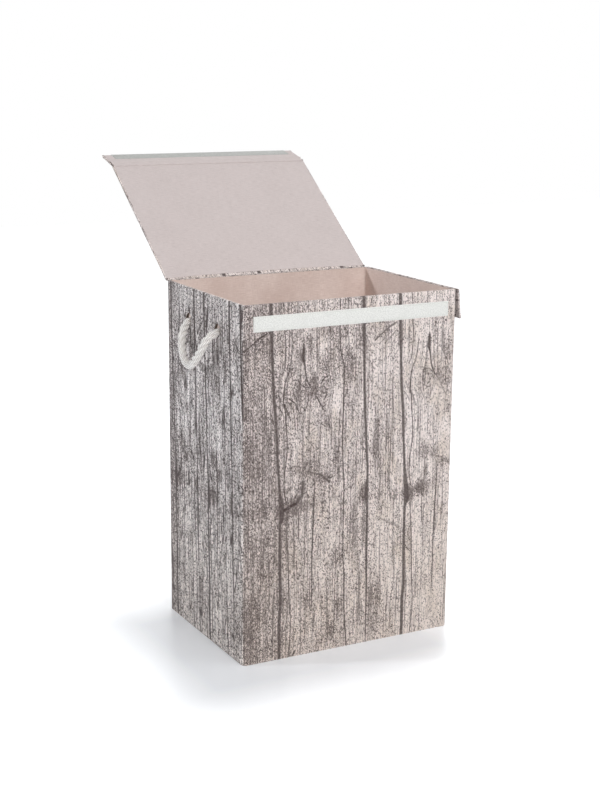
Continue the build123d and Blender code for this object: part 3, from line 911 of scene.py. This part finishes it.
@dataclass
class Body:
    """The four stiffened walls, their printed cover and their lining."""

    finishes: Finishes
    cloth: float = 0.0008
    lining: float = 0.0007
    corner: float = 0.008
    lining_corner: float = 0.0035
    rim: float = 0.0014
    rim_rise: float = 0.0002
    pitch: float = 0.02
    eyelet_radius: float = 0.0078
    side_start: float = -0.150
    side_gap_place: float = 0.019
    side_squeeze: float = 1.76
    side_lean: float = 0.025
    right_mirror: float = 0.6
    back_mirror: float = 0.9
    puff: float = 0.0006
    side_puff_top: float = 0.0003
    front_puff_top: float = 0.0002

    def __post_init__(self) -> None:
        """Read the walls' boxes."""
        self.low, self.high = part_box("outer_cover")
        self.inner_low, self.inner_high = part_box("wall_lining")

    def build(self) -> list[Obj]:
        """Build and dress the cover, the lining and the floor."""
        pieces = [self.cover(), self.wall_lining(), self.floor()]
        repaint(self.finishes.board, "front_board", "back_board", "left_front_board", "left_rear_board",
                "right_front_board", "right_rear_board")
        repaint(self.finishes.plank, "base_cover")
        return pieces

    def wall_offset(self, place: Vector, inward: bool) -> Vector:
        """Return how far soft cloth stands off its flat wall at a place."""
        on_side = abs(place.x) / self.high.x > abs(place.y) / self.high.y
        out, across = (X, Y) if on_side else (Y, X)
        edge = max(0.0, min(1.0, (place.z - self.low.z) / 0.03, (self.high.z - place.z) / 0.02,
                            (self.high[across] - 0.012 - abs(place[across])) / 0.03))
        puff = self.puff * (1 + lump(place, 9.0, 3.1) + lump(place, 26.0, 8.7) / 2)
        if on_side and place.z > 0.45:
            puff = min(puff, self.side_puff_top)
        if not on_side and place.z > 0.54 and place.y < 0:
            puff = min(puff, self.front_puff_top)
        offset = Vector()
        offset[out] = math.copysign(max(0.0, puff) * edge, place[out]) * (-1 if inward else 1)
        return offset

    @staticmethod
    def pierce(piece: Obj, radius: float, rise: float) -> None:
        """Cut the rope holes through a piece, at a height above the ropes' own."""
        cutters = []
        for side in ("left", "right"):
            pivot, span = joint_point(f"{side}_handle_swing"), RopeHandle.span(side)
            for end in (-1, 1):
                nothing_selected()
                bpy.ops.mesh.primitive_cylinder_add(
                    vertices=40, radius=radius, depth=0.04, rotation=(0, math.pi / 2, 0),
                    location=(math.copysign(RopeHandle.wall, pivot.x), end * span, pivot.z + rise))
                cutters.append(settle(bpy.context.object, f"hole_{side}_{end}"))
        pick(cutters[0])
        for cutter in cutters:
            cutter.select_set(True)
        bpy.ops.object.join()
        apply_modifier(piece, "BOOLEAN", object=cutters[0], operation="DIFFERENCE", solver="EXACT")
        bpy.data.objects.remove(cutters[0])

    def shell(self, name: str, low: Vector, high: Vector, corner: float, rim: float) -> Obj:
        """Make an open box of cloth with rounded corners and a turned-in rim."""
        piece = add_block(name, low, high)
        choose(piece, "FACE", lambda face: face.normal.z < -0.9)
        bpy.ops.mesh.delete(type="FACE")
        round_along(piece, Z, 0.1, corner, 5)
        choose(piece, "FACE", lambda face: face.normal.z > 0.9)
        if rim:
            bpy.ops.mesh.inset(thickness=rim)
        bpy.ops.mesh.delete(type="FACE")
        cut_grid(piece, low, high, self.pitch, (Z, X, Y))
        return piece

    def cover(self) -> Obj:
        """Build the printed cover over the outside of the walls."""
        turn_in = self.high.x - self.inner_high.x
        piece = self.shell("printed_cover", self.low, self.high, self.corner, turn_in + self.lining)
        choose(piece, "EDGE", lambda edge: all(abs(v.co.z - self.high.z) < 1e-5 for v in edge.verts)
               and is_folded(edge))
        bpy.ops.mesh.bevel(offset=self.rim, segments=3, affect="EDGES")
        nothing_selected()
        for vertex in piece.data.vertices:
            vertex.co += self.wall_offset(vertex.co, False)
            vertex.co.z += self.rim_rise * max(0.0, 1 - (self.high.z - vertex.co.z) / 0.004)
        thicken(piece, self.cloth)
        self.pierce(piece, RopeHandle.hole_radius, RopeHandle.hole_rise)
        return dress(piece, self.finishes.plank, "hamper", ["outer_cover"], self.print_place,
                     self.side_squeeze)

    def print_place(self, place: Vector, normal: Vector, centre: Vector) -> tuple[float, float]:
        """Return where the print lies on the walls: the sides carry it squeezed across."""
        if abs(normal.z) > 0.7:
            on_side = abs(centre.x) / self.high.x > abs(centre.y) / self.high.y
        else:
            on_side = abs(normal.x) > abs(normal.y)
        out = X if on_side else Y
        up = self.high.z + self.high[out] - abs(place[out]) if abs(normal.z) > 0.5 else place.z
        if on_side:
            from_back = self.high.y - place.y - self.side_gap_place
            along = self.side_start + from_back * self.side_squeeze - self.side_lean * (self.high.z - place.z)
            return (along, up) if centre.x < 0 else (self.right_mirror - along, up)
        return (place.x, up) if centre.y < 0 else (self.back_mirror - place.x, up)

    def wall_lining(self) -> Obj:
        """Build the lining inside the walls."""
        inset = Vector((self.lining, self.lining, 0))
        piece = self.shell("inner_lining", self.inner_low + inset, self.inner_high - inset, self.lining_corner, 0.0)
        for vertex in piece.data.vertices:
            vertex.co += self.wall_offset(vertex.co, True)
        thicken(piece, self.lining, True)
        self.pierce(piece, self.eyelet_radius, 0.0)
        return dress(piece, self.finishes.lining, "hamper", ["wall_lining"],
                     lambda place, normal, centre: (
                         place.y + 1.0 if abs(normal.x) > abs(normal.y) else place.x, place.z))

    def floor(self) -> Obj:
        """Build the lining under the floor board."""
        piece = add_block("floor_cloth", *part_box("floor_lining"))
        round_along(piece, Z, 1e-4, self.lining_corner)
        nothing_selected()
        map_cloth(piece, flat_rule)
        return dress(piece, self.finishes.lining, "hamper", ["floor_lining"])


@dataclass
class FrontTape:
    """The white loop tape sewn along the front wall."""

    finishes: Finishes
    pitch: float = 0.008
    selvedge: float = 0.0012
    border: float = 0.004
    edge_drop: float = 0.0004
    seam_inset: float = 0.0022

    def build(self) -> list[Obj]:
        """Build the tape and its stitching."""
        low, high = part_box("front_loop_strip")
        middle = (low + high) / 2
        piece = add_block("loop_tape", low, high)
        cut_along(piece, X, steps_between(low.x, high.x, self.pitch))
        cut_along(piece, Z, [low.z + self.selvedge, low.z + self.border, middle.z,
                             high.z - self.border, high.z - self.selvedge])
        nothing_selected()
        for vertex in piece.data.vertices:
            place = vertex.co
            near_edge = min(place.z - low.z, high.z - place.z, place.x - low.x, high.x - place.x)
            if place.y < middle.y:
                drop = self.edge_drop if near_edge < 0.0015 else 0.0
                place.y += drop + 0.00012 * (1 + lump(place, 60.0, 2.0))
            place.z += 0.0003 * lump(Vector((place.x, 0, 0)), 25.0, 5.0)
        dress(piece, self.finishes.loop, "hamper", ["front_loop_strip"],
              lambda place, normal, centre: (place.x, place.z))
        out, face, inset = Vector((0, -1, 0)), low.y + 0.0001, self.seam_inset
        left, right = ([Vector((x, face, z)) for z in (low.z + inset, high.z - inset)]
                       for x in (low.x + inset, high.x - inset))
        rows = [(left[0], right[0], out), (left[1], right[1], out), (*left, out), (*right, out)]
        sewn = dress(stitches("loop_tape_stitches", rows), self.finishes.white_thread, "hamper")
        return [piece, sewn]


# ---------------------------------------------------------------- lid and lip


@dataclass
class Panel:
    """A flat stiffened panel on a fold line, with its own directions."""

    origin: Vector
    angle: float
    start: float
    end: float
    half_width: float

    def __post_init__(self) -> None:
        """Work out the panel's directions."""
        turn = math.radians(self.angle)
        self.along = Vector((0, -math.cos(turn), math.sin(turn)))
        self.out = Vector((0, math.sin(turn), math.cos(turn)))

    def point(self, along: float, out: float = 0.0) -> Vector:
        """Return a point in the panel's middle: from its fold line, and out of its cover."""
        return self.origin + self.along * along + self.out * out

    def place(self, piece: Obj) -> None:
        """Move a mesh from the panel's own axes to its place."""
        matrix = Matrix.Identity(4)
        for column, vector in enumerate(((1, 0, 0), -self.along, self.out, self.origin)):
            matrix.col[column].xyz = vector
        pick(piece)
        piece.matrix_world = matrix
        bpy.ops.object.transform_apply(location=True, rotation=True, scale=True)

    def local(self, place: Vector) -> Vector:
        """Return a point in the panel's own axes: across, from the fold line, out of the cover."""
        away = place - self.origin
        return Vector((away.x, away.dot(self.along), away.dot(self.out)))

    def rule(self, place: Vector, normal: Vector, centre: Vector) -> tuple[float, float]:
        """Lay the cloth flat on the panel."""
        return tuple(self.local(place).xy)

    def inward(self, place: Vector) -> float:
        """Return how far a place in the panel's own axes is from its nearest edge."""
        return min(self.half_width - abs(place.x), -self.start - place.y, place.y + self.end)


@dataclass
class Lid:
    """The lid and its lip, their covers and linings, and the two cloth folds."""

    finishes: Finishes
    open_angle: float = 144.0
    rise: float = 0.0049
    lip_angle: float = 165.6
    thickness: float = 0.0045
    cloth: float = 0.0008
    lining: float = 0.0007
    setback: float = 0.0016
    fold_setback: float = 0.0012
    lip_setback: float = 0.0049
    lip_length: float = 0.0499
    lining_inset: float = 0.0018
    hem: float = 0.009
    hem_gap: float = 0.0002
    fold_radius: float = 0.0009
    hinge_bow: float = 0.004
    sewn_half: float = 0.1915
    edge_gap: float = 0.001
    corner: float = 0.003
    pitch: float = 0.02
    margin: float = 0.0052
    selvedge: float = 0.0015
    crown: float = 0.0006
    ripple: float = 0.0005
    sag: float = 0.0007
    sag_ripple: float = 0.0006
    print_across: float = 0.238
    print_up: float = 0.62
    strip_across: float = 0.3
    strip_drop: float = 0.335

    def __post_init__(self) -> None:
        """Work out the two panels from the joints."""
        self.hinge, fold = joint_point("lid_hinge"), joint_point("lip_fold")
        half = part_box("lid_cover")[1].x
        start = Panel(self.hinge, self.open_angle, 0, 0, 0).point(0, self.rise)
        self.reach = (fold - start).length
        self.lid = Panel(start, self.open_angle, self.setback, self.reach - self.fold_setback, half)
        self.lip = Panel(fold, self.lip_angle, self.lip_setback, self.lip_length, half)

    def build(self) -> list[Obj]:
        """Build and dress the lid, the lip and the folds."""
        pieces = []
        for name, panel, reach in (("lid", self.lid, 0.0), ("lip", self.lip, self.reach)):
            pieces += [self.cover(name, panel, reach), self.inside(name, panel)]
        pieces += [self.hook_tape(), self.hinge_cloth(), self.fold_cloth(), self.fold_lining()]
        repaint(self.finishes.board, "lid_board", "lip_board")
        return pieces

    def slab(self, name: str, panel: Panel, bottom: float, top: float, inset: float) -> Obj:
        """Make a rounded slab in a panel's own axes.

        Args:
            name: The piece's name.
            panel: The panel it belongs to.
            bottom: Its lower face, measured out of the cover.
            top: Its upper face.
            inset: How far it stays inside the panel's edges.

        Returns:
            The slab, cut into a grid and not yet in place.
        """
        low = Vector((-panel.half_width + inset, -panel.end + inset, bottom))
        high = Vector((panel.half_width - inset, -panel.start - inset, top))
        piece = add_block(name, low, high)
        round_along(piece, Z, (top - bottom) / 2, self.corner)
        for axis in (X, Y):
            margins = [low[axis] + self.margin, high[axis] - self.margin]
            cut_along(piece, axis, steps_between(low[axis], high[axis], self.pitch) + margins)
        nothing_selected()
        return piece

    def cover(self, body: str, panel: Panel, reach: float) -> Obj:
        """Build a printed cover that wraps round a panel's edges."""
        bottom = -self.thickness + self.lining - self.hem_gap
        piece = self.slab(f"{body}_cloth", panel, bottom, 0.0, 0.0)
        choose(piece, "FACE", lambda face: face.normal.z < -0.9)
        bpy.ops.mesh.inset(thickness=self.hem)
        bpy.ops.mesh.delete(type="FACE")
        choose(piece, "EDGE", is_folded)
        bpy.ops.mesh.bevel(offset=self.fold_radius, segments=3, affect="EDGES")
        nothing_selected()
        for vertex in piece.data.vertices:
            share = share_of(panel.inward(vertex.co), 0.002, 0.03)
            if vertex.co.z > -self.cloth:
                vertex.co.z += share * (self.crown + self.ripple * lump(vertex.co, 11.0, 4.0))
        thicken(piece, self.cloth)
        for vertex in piece.data.vertices:
            vertex.co.y = max(-panel.end, min(-panel.start, vertex.co.y))
            vertex.co.z = max(bottom, vertex.co.z)
        panel.place(piece)

        def rule(place: Vector, normal: Vector, centre: Vector) -> tuple[float, float]:
            """Lay the print over the panel's face and on round its edges."""
            local = panel.local(place)
            on_top, at_end = normal.dot(panel.out) > 0.5, abs(normal.x) > 0.5
            across, up = self.print_across - local.x, self.print_up - (local.y + reach)
            return across + (local.z if at_end and not on_top else 0.0), up + (0.0 if on_top or at_end else local.z)

        return dress(piece, self.finishes.plank, body, [f"{body}_cover"], rule)

    def inside(self, body: str, panel: Panel) -> Obj:
        """Build a panel's lining, sewn down just inside its edges."""
        top = -self.thickness + self.lining
        piece = self.slab(f"{body}_inner_cloth", panel, -self.thickness, top, self.lining_inset)
        for vertex in piece.data.vertices:
            place = vertex.co
            share = share_of(panel.inward(place), 0.006, 0.012)
            if place.z < top - self.lining / 2:
                place.z -= share * (self.sag + self.sag_ripple * lump(place, 8.0, 1.5))
            if panel is self.lid:
                run = (place.x + panel.half_width) / (2 * panel.half_width)
                close = max(0.0, 1 - (-panel.start - self.lining_inset - place.y) / 0.03)
                place.y -= self.hinge_bow * math.sin(math.pi * min(1.0, run * 1.02)) ** 0.6 * close
        panel.place(piece)
        return dress(piece, self.finishes.lid_lining, body, [f"{body}_lining"], panel.rule)

    def hook_tape(self) -> Obj:
        """Build the hook tape inside the lip."""
        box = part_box("lip_hook_strip")
        corners = [self.lip.local(Vector(v.co)) for v in frame["nodes"]["lip_hook_strip"].data.vertices]
        low, high = (Vector((side.x, -edge(c.y for c in corners), face(c.z for c in corners)))
                     for side, edge, face in zip(box, (max, min), (min, max)))
        piece = add_block("hook_tape", low, high)
        cut_along(piece, X, steps_between(low.x, high.x, self.pitch))
        cut_along(piece, Y, [low.y + self.selvedge, high.y - self.selvedge])
        nothing_selected()
        for vertex in piece.data.vertices:
            near = min(vertex.co.y - low.y, high.y - vertex.co.y)
            if vertex.co.z < (low.z + high.z) / 2 and near < 0.001:
                vertex.co.z += 0.0005
        self.lip.place(piece)
        return dress(piece, self.finishes.hook, "lip", ["lip_hook_strip"], self.lip.rule)

    @staticmethod
    def strip(name: str, path: Sequence[Vector], half: float, cloth: float, count: int = 21) -> Obj:
        """Make a strip of cloth that follows a path in the YZ plane across the lid's width."""
        xs = [-half + 2 * half * index / (count - 1) for index in range(count)]
        points = [Vector((x, place.y, place.z)) for place in path for x in xs]
        starts = [row * count + column for row in range(len(path) - 1) for column in range(count - 1)]
        piece = from_faces(name, points, [[low, low + 1, low + count + 1, low + count] for low in starts])
        thicken(piece, cloth)
        return piece

    def hinge_cloth(self) -> Obj:
        """Build the printed strip that the lid hangs from, sewn to the back wall."""
        low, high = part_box("lid_hinge_strip")
        hinge, top = self.hinge, self.hinge.z - 0.0022
        path = [Vector((0, high.y, low.z + (top - low.z) * share / 6)) for share in range(7)]
        path.append(Vector((0, high.y + 0.0006, hinge.z - 0.0008)))
        for along, out in ((-0.0002, -0.0021), (0.0009, -0.0009), (0.0022, -0.0001), (0.0045, 0.0003), (0.010, 0.0004)):
            path.append(self.lid.point(along, out))
        piece = self.strip("lid_hinge_cloth", path, high.x, self.cloth)
        for vertex in piece.data.vertices:
            if vertex.co.z < hinge.z - 0.001:
                vertex.co.x = max(-self.sewn_half, min(self.sewn_half, vertex.co.x))
        dress(piece, self.finishes.plank, None, ["lid_hinge_strip"],
              lambda place, normal, centre: (self.strip_across - place.x, place.z - self.strip_drop), angle=60)
        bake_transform(piece)
        return piece

    def fold_cloth(self) -> Obj:
        """Build the bare cloth between the lid and the lip."""
        lid, lip, out = self.lid, self.lip, -0.0001
        path = [lid.point(along, out) for along in (lid.end - 0.006, lid.end - 0.001, self.reach)]
        path += [lip.point(along, out) for along in (0.0012, 0.003, 0.0055, 0.010)]
        piece = self.strip("lip_fold_cloth", path, lid.half_width - self.edge_gap, self.cloth)
        dress(piece, self.finishes.plank, None, (), lambda place, normal, centre: (
            self.strip_across - place.x, self.print_up - lid.local(place).y), angle=60)
        lid.point(self.reach - 0.001)
        lip.point(0.001)
        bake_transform(piece)
        return piece

    def fold_lining(self) -> Obj:
        """Build the lining that covers the crease between the lid and the lip."""
        lid, lip, face = self.lid, self.lip, -self.thickness
        end, start = lid.end - self.lining_inset, self.lip_setback + self.lining_inset
        path = [lid.point(along, face + out) for along, out in (
            (end - 0.004, 0.0), (end + 0.0002, -0.0001), (end + 0.0026, 0.0014))]
        path += [lip.point(along, face + out) for along, out in (
            (0.0012, 0.0016), (0.0036, 0.0003), (start, -0.0001), (start + 0.003, 0.0))]
        piece = self.strip("fold_inner_cloth", path[::-1], lid.half_width - self.lining_inset, self.lining)
        dress(piece, self.finishes.lid_lining, None, (), lambda place, normal, centre: (
            place.x, lid.local(place).y), angle=60)
        lid.point(end)
        lip.point(0.0036)
        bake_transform(piece)
        return piece


# ---------------------------------------------------------------- side flap and floor board


@dataclass
class SideFlap:
    """The doubled cloth flap that hangs from the right wall's rim."""

    finishes: Finishes
    thickness: float = 0.003
    pitch: float = 0.012
    drop_pitch: float = 0.009
    less_bow: float = 0.3
    ripple: float = 0.0006
    hem_wave: float = 0.0008
    print_start: float = 0.55
    print_squeeze: float = 1.3
    edge_start: float = -0.365
    edge_squeeze: float = 1.5
    edge_lean: float = 0.2

    def build(self) -> list[Obj]:
        """Build and dress the flap."""
        low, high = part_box("side_flap")
        hinge = joint_point("side_flap_fold")
        drop = high.z - low.z
        piece = add_block("flap_cloth", Vector((hinge.x, low.y, low.z)),
                          Vector((hinge.x + self.thickness, high.y, high.z)))
        round_along(piece, Y, 0.1, self.thickness * 0.45)
        cut_along(piece, Y, steps_between(low.y, high.y, self.pitch))
        cut_along(piece, Z, steps_between(low.z, high.z, self.drop_pitch))
        nothing_selected()
        lean = high.x - hinge.x - self.thickness
        for vertex in piece.data.vertices:
            depth = (high.z - vertex.co.z) / drop
            bow = 1.0 - self.less_bow * (vertex.co.y - low.y) / (high.y - low.y)
            vertex.co.x += depth * lean * bow + self.ripple * depth * lump(vertex.co, 30.0, 7.0)
            vertex.co.z += self.hem_wave * depth * lump(Vector((0, vertex.co.y, 0)), 18.0, 3.0)

        def rule(place: Vector, normal: Vector, centre: Vector) -> tuple[float, float]:
            """Lay the print on the flap's outer face, and another part of it on its edges and back."""
            if normal.x > abs(normal.y):
                return self.print_start + place.y * self.print_squeeze, place.z
            return place.x * self.edge_squeeze + self.edge_start + place.y * self.edge_lean, place.z

        dress(piece, self.finishes.plank, None, ["side_flap"], rule)
        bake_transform(piece)
        return [piece]


@dataclass
class FloorBoard:
    """The loose board on the floor, in a sleeve of lining cloth."""

    finishes: Finishes
    corner: float = 0.004
    edge: float = 0.003
    edge_press: float = 0.25
    ripple: float = 0.0004
    pitch: float = 0.02

    def build(self) -> list[Obj]:
        """Build and dress the sleeve."""
        low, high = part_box("base_board_sleeve")
        piece = add_block("floor_board_sleeve", low, high)
        round_along(piece, Z, 0.003, self.corner)
        choose(piece, "FACE", lambda face: abs(face.normal.z) > 0.9)
        bpy.ops.mesh.inset(thickness=self.edge)
        cut_grid(piece, low, high, self.pitch, (X, Y))
        middle = (low.z + high.z) / 2
        for vertex in piece.data.vertices:
            near = min(high.x - abs(vertex.co.x), high.y - abs(vertex.co.y))
            if near < 0.001:
                vertex.co.z = middle + (vertex.co.z - middle) * self.edge_press
            elif vertex.co.z > middle:
                vertex.co.z += self.ripple * lump(vertex.co, 12.0, 2.0)
        dress(piece, self.finishes.lining, "base_board_body", ["base_board_sleeve"], flat_rule)
        repaint(self.finishes.board, "base_board")
        return [piece]


# ---------------------------------------------------------------- rope handles


def spline_points(controls: Sequence[Vector], resolution: int = 24) -> list[Vector]:
    """Return points along a smooth curve, a number of them for each of its control points."""
    curve = bpy.data.curves.new("route", "CURVE")
    curve.dimensions = "3D"
    spline = curve.splines.new("NURBS")
    spline.points.add(len(controls) - 1)
    for point, control in zip(spline.points, controls):
        point.co = (*control, 1.0)
    spline.order_u = 3
    spline.use_endpoint_u = True
    spline.resolution_u = resolution
    carrier = bpy.data.objects.new("route", curve)
    mesh = bpy.data.meshes.new_from_object(carrier)
    points = [vertex.co.copy() for vertex in mesh.vertices]
    bpy.data.meshes.remove(mesh)
    bpy.data.objects.remove(carrier)
    bpy.data.curves.remove(curve)
    return points


def evenly(points: Sequence[Vector], pitch: float) -> list[Vector]:
    """Return points along a line, a pitch apart."""
    result = [points[0].copy()]
    left = pitch
    for before, after in zip(points, points[1:]):
        run = (after - before).length
        while run > 1e-9 and left <= run:
            before = before.lerp(after, left / run)
            result.append(before.copy())
            run = (after - before).length
            left = pitch
        left -= run
    result.append(points[-1].copy())
    return result


@dataclass
class Rope:
    """A three-strand rope of twisted cotton."""

    diameter: float = 0.014
    lay: float = 0.038
    strands: int = 3
    sides: int = 14
    pitch: float = 0.0012
    strand_offset: float = 0.25
    strand_radius: float = 0.254

    def mesh(self, name: str, line: Sequence[Vector], girth: float = 1.0) -> tuple[Obj, list[Vector]]:
        """Lay the strands round a line.

        Args:
            name: The piece's name.
            line: The rope's middle line.
            girth: The rope's width as a share of its diameter.

        Returns:
            The rope as one object, and the points of its middle line.
        """
        path = evenly(line, self.pitch)
        last = len(path) - 1
        tangents = [(path[min(i + 1, last)] - path[max(i - 1, 0)]).normalized() for i in range(len(path))]
        across = tangents[0].orthogonal().normalized()
        frames = []
        for tangent in tangents:
            across = (across - tangent * across.dot(tangent)).normalized()
            frames.append((across.copy(), tangent.cross(across).normalized()))
        offset, radius = (self.diameter * girth * share for share in (self.strand_offset, self.strand_radius))
        points: list[Vector] = []
        faces: list[list[int]] = []
        for strand in range(self.strands):
            rings = []
            for index, (place, (side, up)) in enumerate(zip(path, frames)):
                turn = 2 * math.pi * (index * self.pitch / self.lay + strand / self.strands)
                centre = place + (side * math.cos(turn) + up * math.sin(turn)) * offset
                rings.append(ring(centre, side, up, radius, self.sides))
            add_tube(points, faces, rings)
        piece = from_faces(name, points, faces)
        self.map_strands(piece, len(path))
        smooth(piece, 60)
        return piece, path

    def map_strands(self, piece: Obj, rows: int) -> None:
        """Lay the cloth coordinates on the strands: a share of the way round, and metres along."""
        layer = piece.data.uv_layers.new(name=CLOTH_MAP)
        for face in piece.data.polygons:
            if len(face.vertices) > 4:
                continue
            corners = [(vertex % self.sides / self.sides, vertex // self.sides % rows * self.pitch)
                       for vertex in face.vertices]
            wraps = max(corners)[0] - min(corners)[0] > 0.5
            for index, (around, along) in zip(face.loop_indices, corners):
                layer.data[index].uv = (around + (1.0 if wraps and around < 0.5 else 0.0), along)


@dataclass
class RopeHandle:
    """A rope that comes out of one hole in a side wall, hangs down and goes back in at the other."""

    finishes: Finishes
    side: str
    rope: Rope
    wall: float = 0.2
    wall_outside: float = 0.2035
    knot_place: float = 0.196
    hole_radius: float = 0.011
    hole_rise: float = 0.0036
    knot_girth: float = 0.86
    bail: tuple[Triple, ...] = (
        (0.012, -0.0535, 0.012), (0.020, -0.0435, 0.0375), (0.023, -0.022, 0.058), (0.0185, 0.004, 0.0625),
        (0.015, 0.028, 0.0555), (0.0105, 0.045, 0.037), (0.006, 0.054, 0.018),
    )
    knot_turn: tuple[Triple, ...] = (
        (0.0, 0.0, 0.0), (9.0, 0.0, 1.0), (16.0, 7.0, 3.5), (17.0, 12.5, -4.5), (10.5, 13.5, -11.0),
        (5.0, 7.0, -10.5), (4.5, -4.5, -6.0), (7.0, -12.5, 0.0), (12.5, -12.5, 8.0), (17.0, -6.0, 10.5),
        (16.0, 2.5, 4.5), (12.5, 4.5, -7.0), (13.0, 3.5, -18.0), (13.0, 2.5, -34.0),
    )

    @staticmethod
    def span(side: str) -> float:
        """Return how far a rope's holes are from the middle of their wall."""
        low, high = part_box(f"{side}_front_knot")
        return abs((low.y + high.y) / 2)

    def build(self) -> list[Obj]:
        """Build and dress the rope outside the wall and its knots inside."""
        pivot, span = joint_point(f"{self.side}_handle_swing"), self.span(self.side)
        sign = math.copysign(1.0, pivot.x)

        def on_wall(x: float, y: float) -> Vector:
            """Return a point at the height of the rope's holes."""
            return Vector((sign * x, y, pivot.z))

        controls = [on_wall(self.knot_place, -span), on_wall(self.wall_outside, -span)]
        controls += [Vector((pivot.x + sign * out, y, pivot.z - down)) for out, y, down in self.bail]
        controls += [on_wall(self.wall_outside, span), on_wall(self.knot_place, span)]
        piece, path = self.rope.mesh(f"{self.side}_rope", spline_points(controls))
        dress(piece, self.finishes.rope, None, [f"{self.side}_rope_handle"])
        on_wall(0.2005, 0)
        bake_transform(piece)
        on_wall(self.wall, -span)
        sum((b - a).length for a, b in zip(path, path[1:]))
        [list(p) for p in path]
        pieces = [piece]
        for end, name in ((-1, "front"), (1, "rear")):
            start = on_wall(self.knot_place, end * span)
            turns = [start + Vector((-sign * x, y * end, z)) / 1000 for x, y, z in self.knot_turn]
            knot, _ = self.rope.mesh(f"{self.side}_{name}_rope_knot", spline_points(turns, 12), self.knot_girth)
            pieces.append(dress(knot, self.finishes.rope, "hamper", [f"{self.side}_{name}_knot"]))
        return pieces


# ---------------------------------------------------------------- studio


@dataclass
class Lamp:
    """A square soft light: its name, place, aim, size in metres, power in watts and colour."""

    name: str
    place: Triple
    aim: Triple
    size: float
    power: float
    colour: Colour = (1.0, 1.0, 1.0)

    def hang(self) -> None:
        """Add the light to the scene."""
        data = bpy.data.lights.new(self.name, "AREA")
        data.shape = "SQUARE"
        data.size, data.energy, data.color = self.size, self.power, self.colour
        light = bpy.data.objects.new(self.name, data)
        bpy.context.scene.collection.objects.link(light)
        light.location = self.place
        light.rotation_euler = (Vector(self.aim) - Vector(self.place)).to_track_quat("-Z", "Y").to_euler()


@dataclass
class Studio:
    """The floor, the soft lights and the camera."""

    camera_place: Vector
    azimuth: float = -28.33
    elevation: float = 13.15
    roll: float = 0.51
    lens: float = 66.9
    floor_size: float = 12.0
    lamps: tuple[Lamp, ...] = (
        Lamp("key_light", (-0.3, -3.3, 1.8), (0, 0, 0.45), 1.3, 53.0),
        Lamp("top_light", (0.3, -0.9, 2.9), (0, 0, 0.4), 1.6, 34.0),
        Lamp("side_light", (-2.4, 0.75, 1.2), (-0.2, 0, 0.5), 0.2, 25.0, (0.92, 0.96, 1.0)),
        Lamp("back_light", (1.6, 1.9, 2.2), (0, 0, 0.3), 1.6, 17.0),
    )

    def build(self) -> None:
        """Set up the camera, the lights, the floor and the surroundings."""
        self.camera()
        self.floor()
        for lamp in self.lamps:
            lamp.hang()
        self.surroundings()
        bpy.context.scene.view_settings.view_transform = "Standard"

    def camera(self) -> None:
        """Place the camera."""
        data = bpy.data.cameras.new("camera")
        camera = bpy.data.objects.new("camera", data)
        bpy.context.scene.collection.objects.link(camera)
        yaw, pitch = math.radians(self.azimuth), math.radians(self.elevation)
        back = Vector((math.sin(yaw) * math.cos(pitch), -math.cos(yaw) * math.cos(pitch), math.sin(pitch)))
        right = Vector((0, 0, 1)).cross(back).normalized()
        turned = Matrix((right, back.cross(right), back)).transposed().to_4x4()
        roll = Matrix.Rotation(math.radians(self.roll), 4, "Z")
        camera.matrix_world = Matrix.Translation(self.camera_place) @ turned @ roll
        data.sensor_width, data.lens = 36.0, self.lens
        data.clip_start, data.clip_end = 0.05, 50.0
        bpy.context.scene.camera = camera

    def floor(self) -> None:
        """Lay a large pale floor that keeps the object's soft shadow and carries a painted shadow at the hamper's left
        and front.
        """
        nothing_selected()
        bpy.ops.mesh.primitive_plane_add(size=self.floor_size, location=(0, 0, 0))
        floor = settle(bpy.context.object, "studio_floor")
        graph = Graph(bpy.data.materials.new("studio_floor_painted_shadow"))
        _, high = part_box("outer_cover")
        x, y, _ = graph.place().parts
        # painted shadow: the camera-ray glow is weak in a field shifted to the hamper's left and front and rises to
        # full white about 250 mm out, so the floor there reads as shade on top of the real shadow
        beside = (abs(x + 70.0) - high.x * 1000).most(0.0)
        before = (abs(y + 60.0) - high.y * 1000).most(0.0)
        far = graph.vectors("LENGTH", graph.vector(beside, before)).step(-40.0, 250.0)
        light = graph.seen_by("Camera", "Glossy", "Transmission") * (far * 0.95 + 0.10)
        matt = graph.put("BsdfDiffuse", {"Color": (0.78, 0.80, 0.83, 1.0)})
        glow = graph.put("Emission", {"Color": WHITE, "Strength": light})
        polish = graph.put("BsdfAnisotropic", {"Color": WHITE, "Roughness": 0.32})
        both = graph.put("AddShader", {0: matt, 1: glow})
        graph.close("OutputMaterial", graph.put("MixShader", {0: 0.21, 1: both, 2: polish}))
        floor.data.materials.append(graph.owner)

    def surroundings(self) -> None:
        """Surround the scene with white that the camera sees and the object hardly does."""
        bpy.context.scene.world = bpy.data.worlds.new("studio_world")
        graph = Graph(bpy.context.scene.world)
        strength = graph.seen_by("Camera", "Glossy") * 0.87 + 0.13
        graph.close("OutputWorld", graph.put("Background", {"Color": WHITE, "Strength": strength}))


# ---------------------------------------------------------------- all of it


def main() -> None:
    """Build the studio and every piece."""
    logging.basicConfig(level=logging.INFO, format="%(name)s: %(message)s")
    Studio(Vector((-1.2, -2.194, 0.984))).build()
    finishes, rope = Finishes(), Rope()
    for part in (RopeHandle(finishes, "left", rope), RopeHandle(finishes, "right", rope), Body(finishes),
                 FrontTape(finishes), Lid(finishes), SideFlap(finishes), FloorBoard(finishes)):
        log.info("%s: %d pieces", type(part).__name__, len(part.build()))


if __name__ == "__main__":
    main()
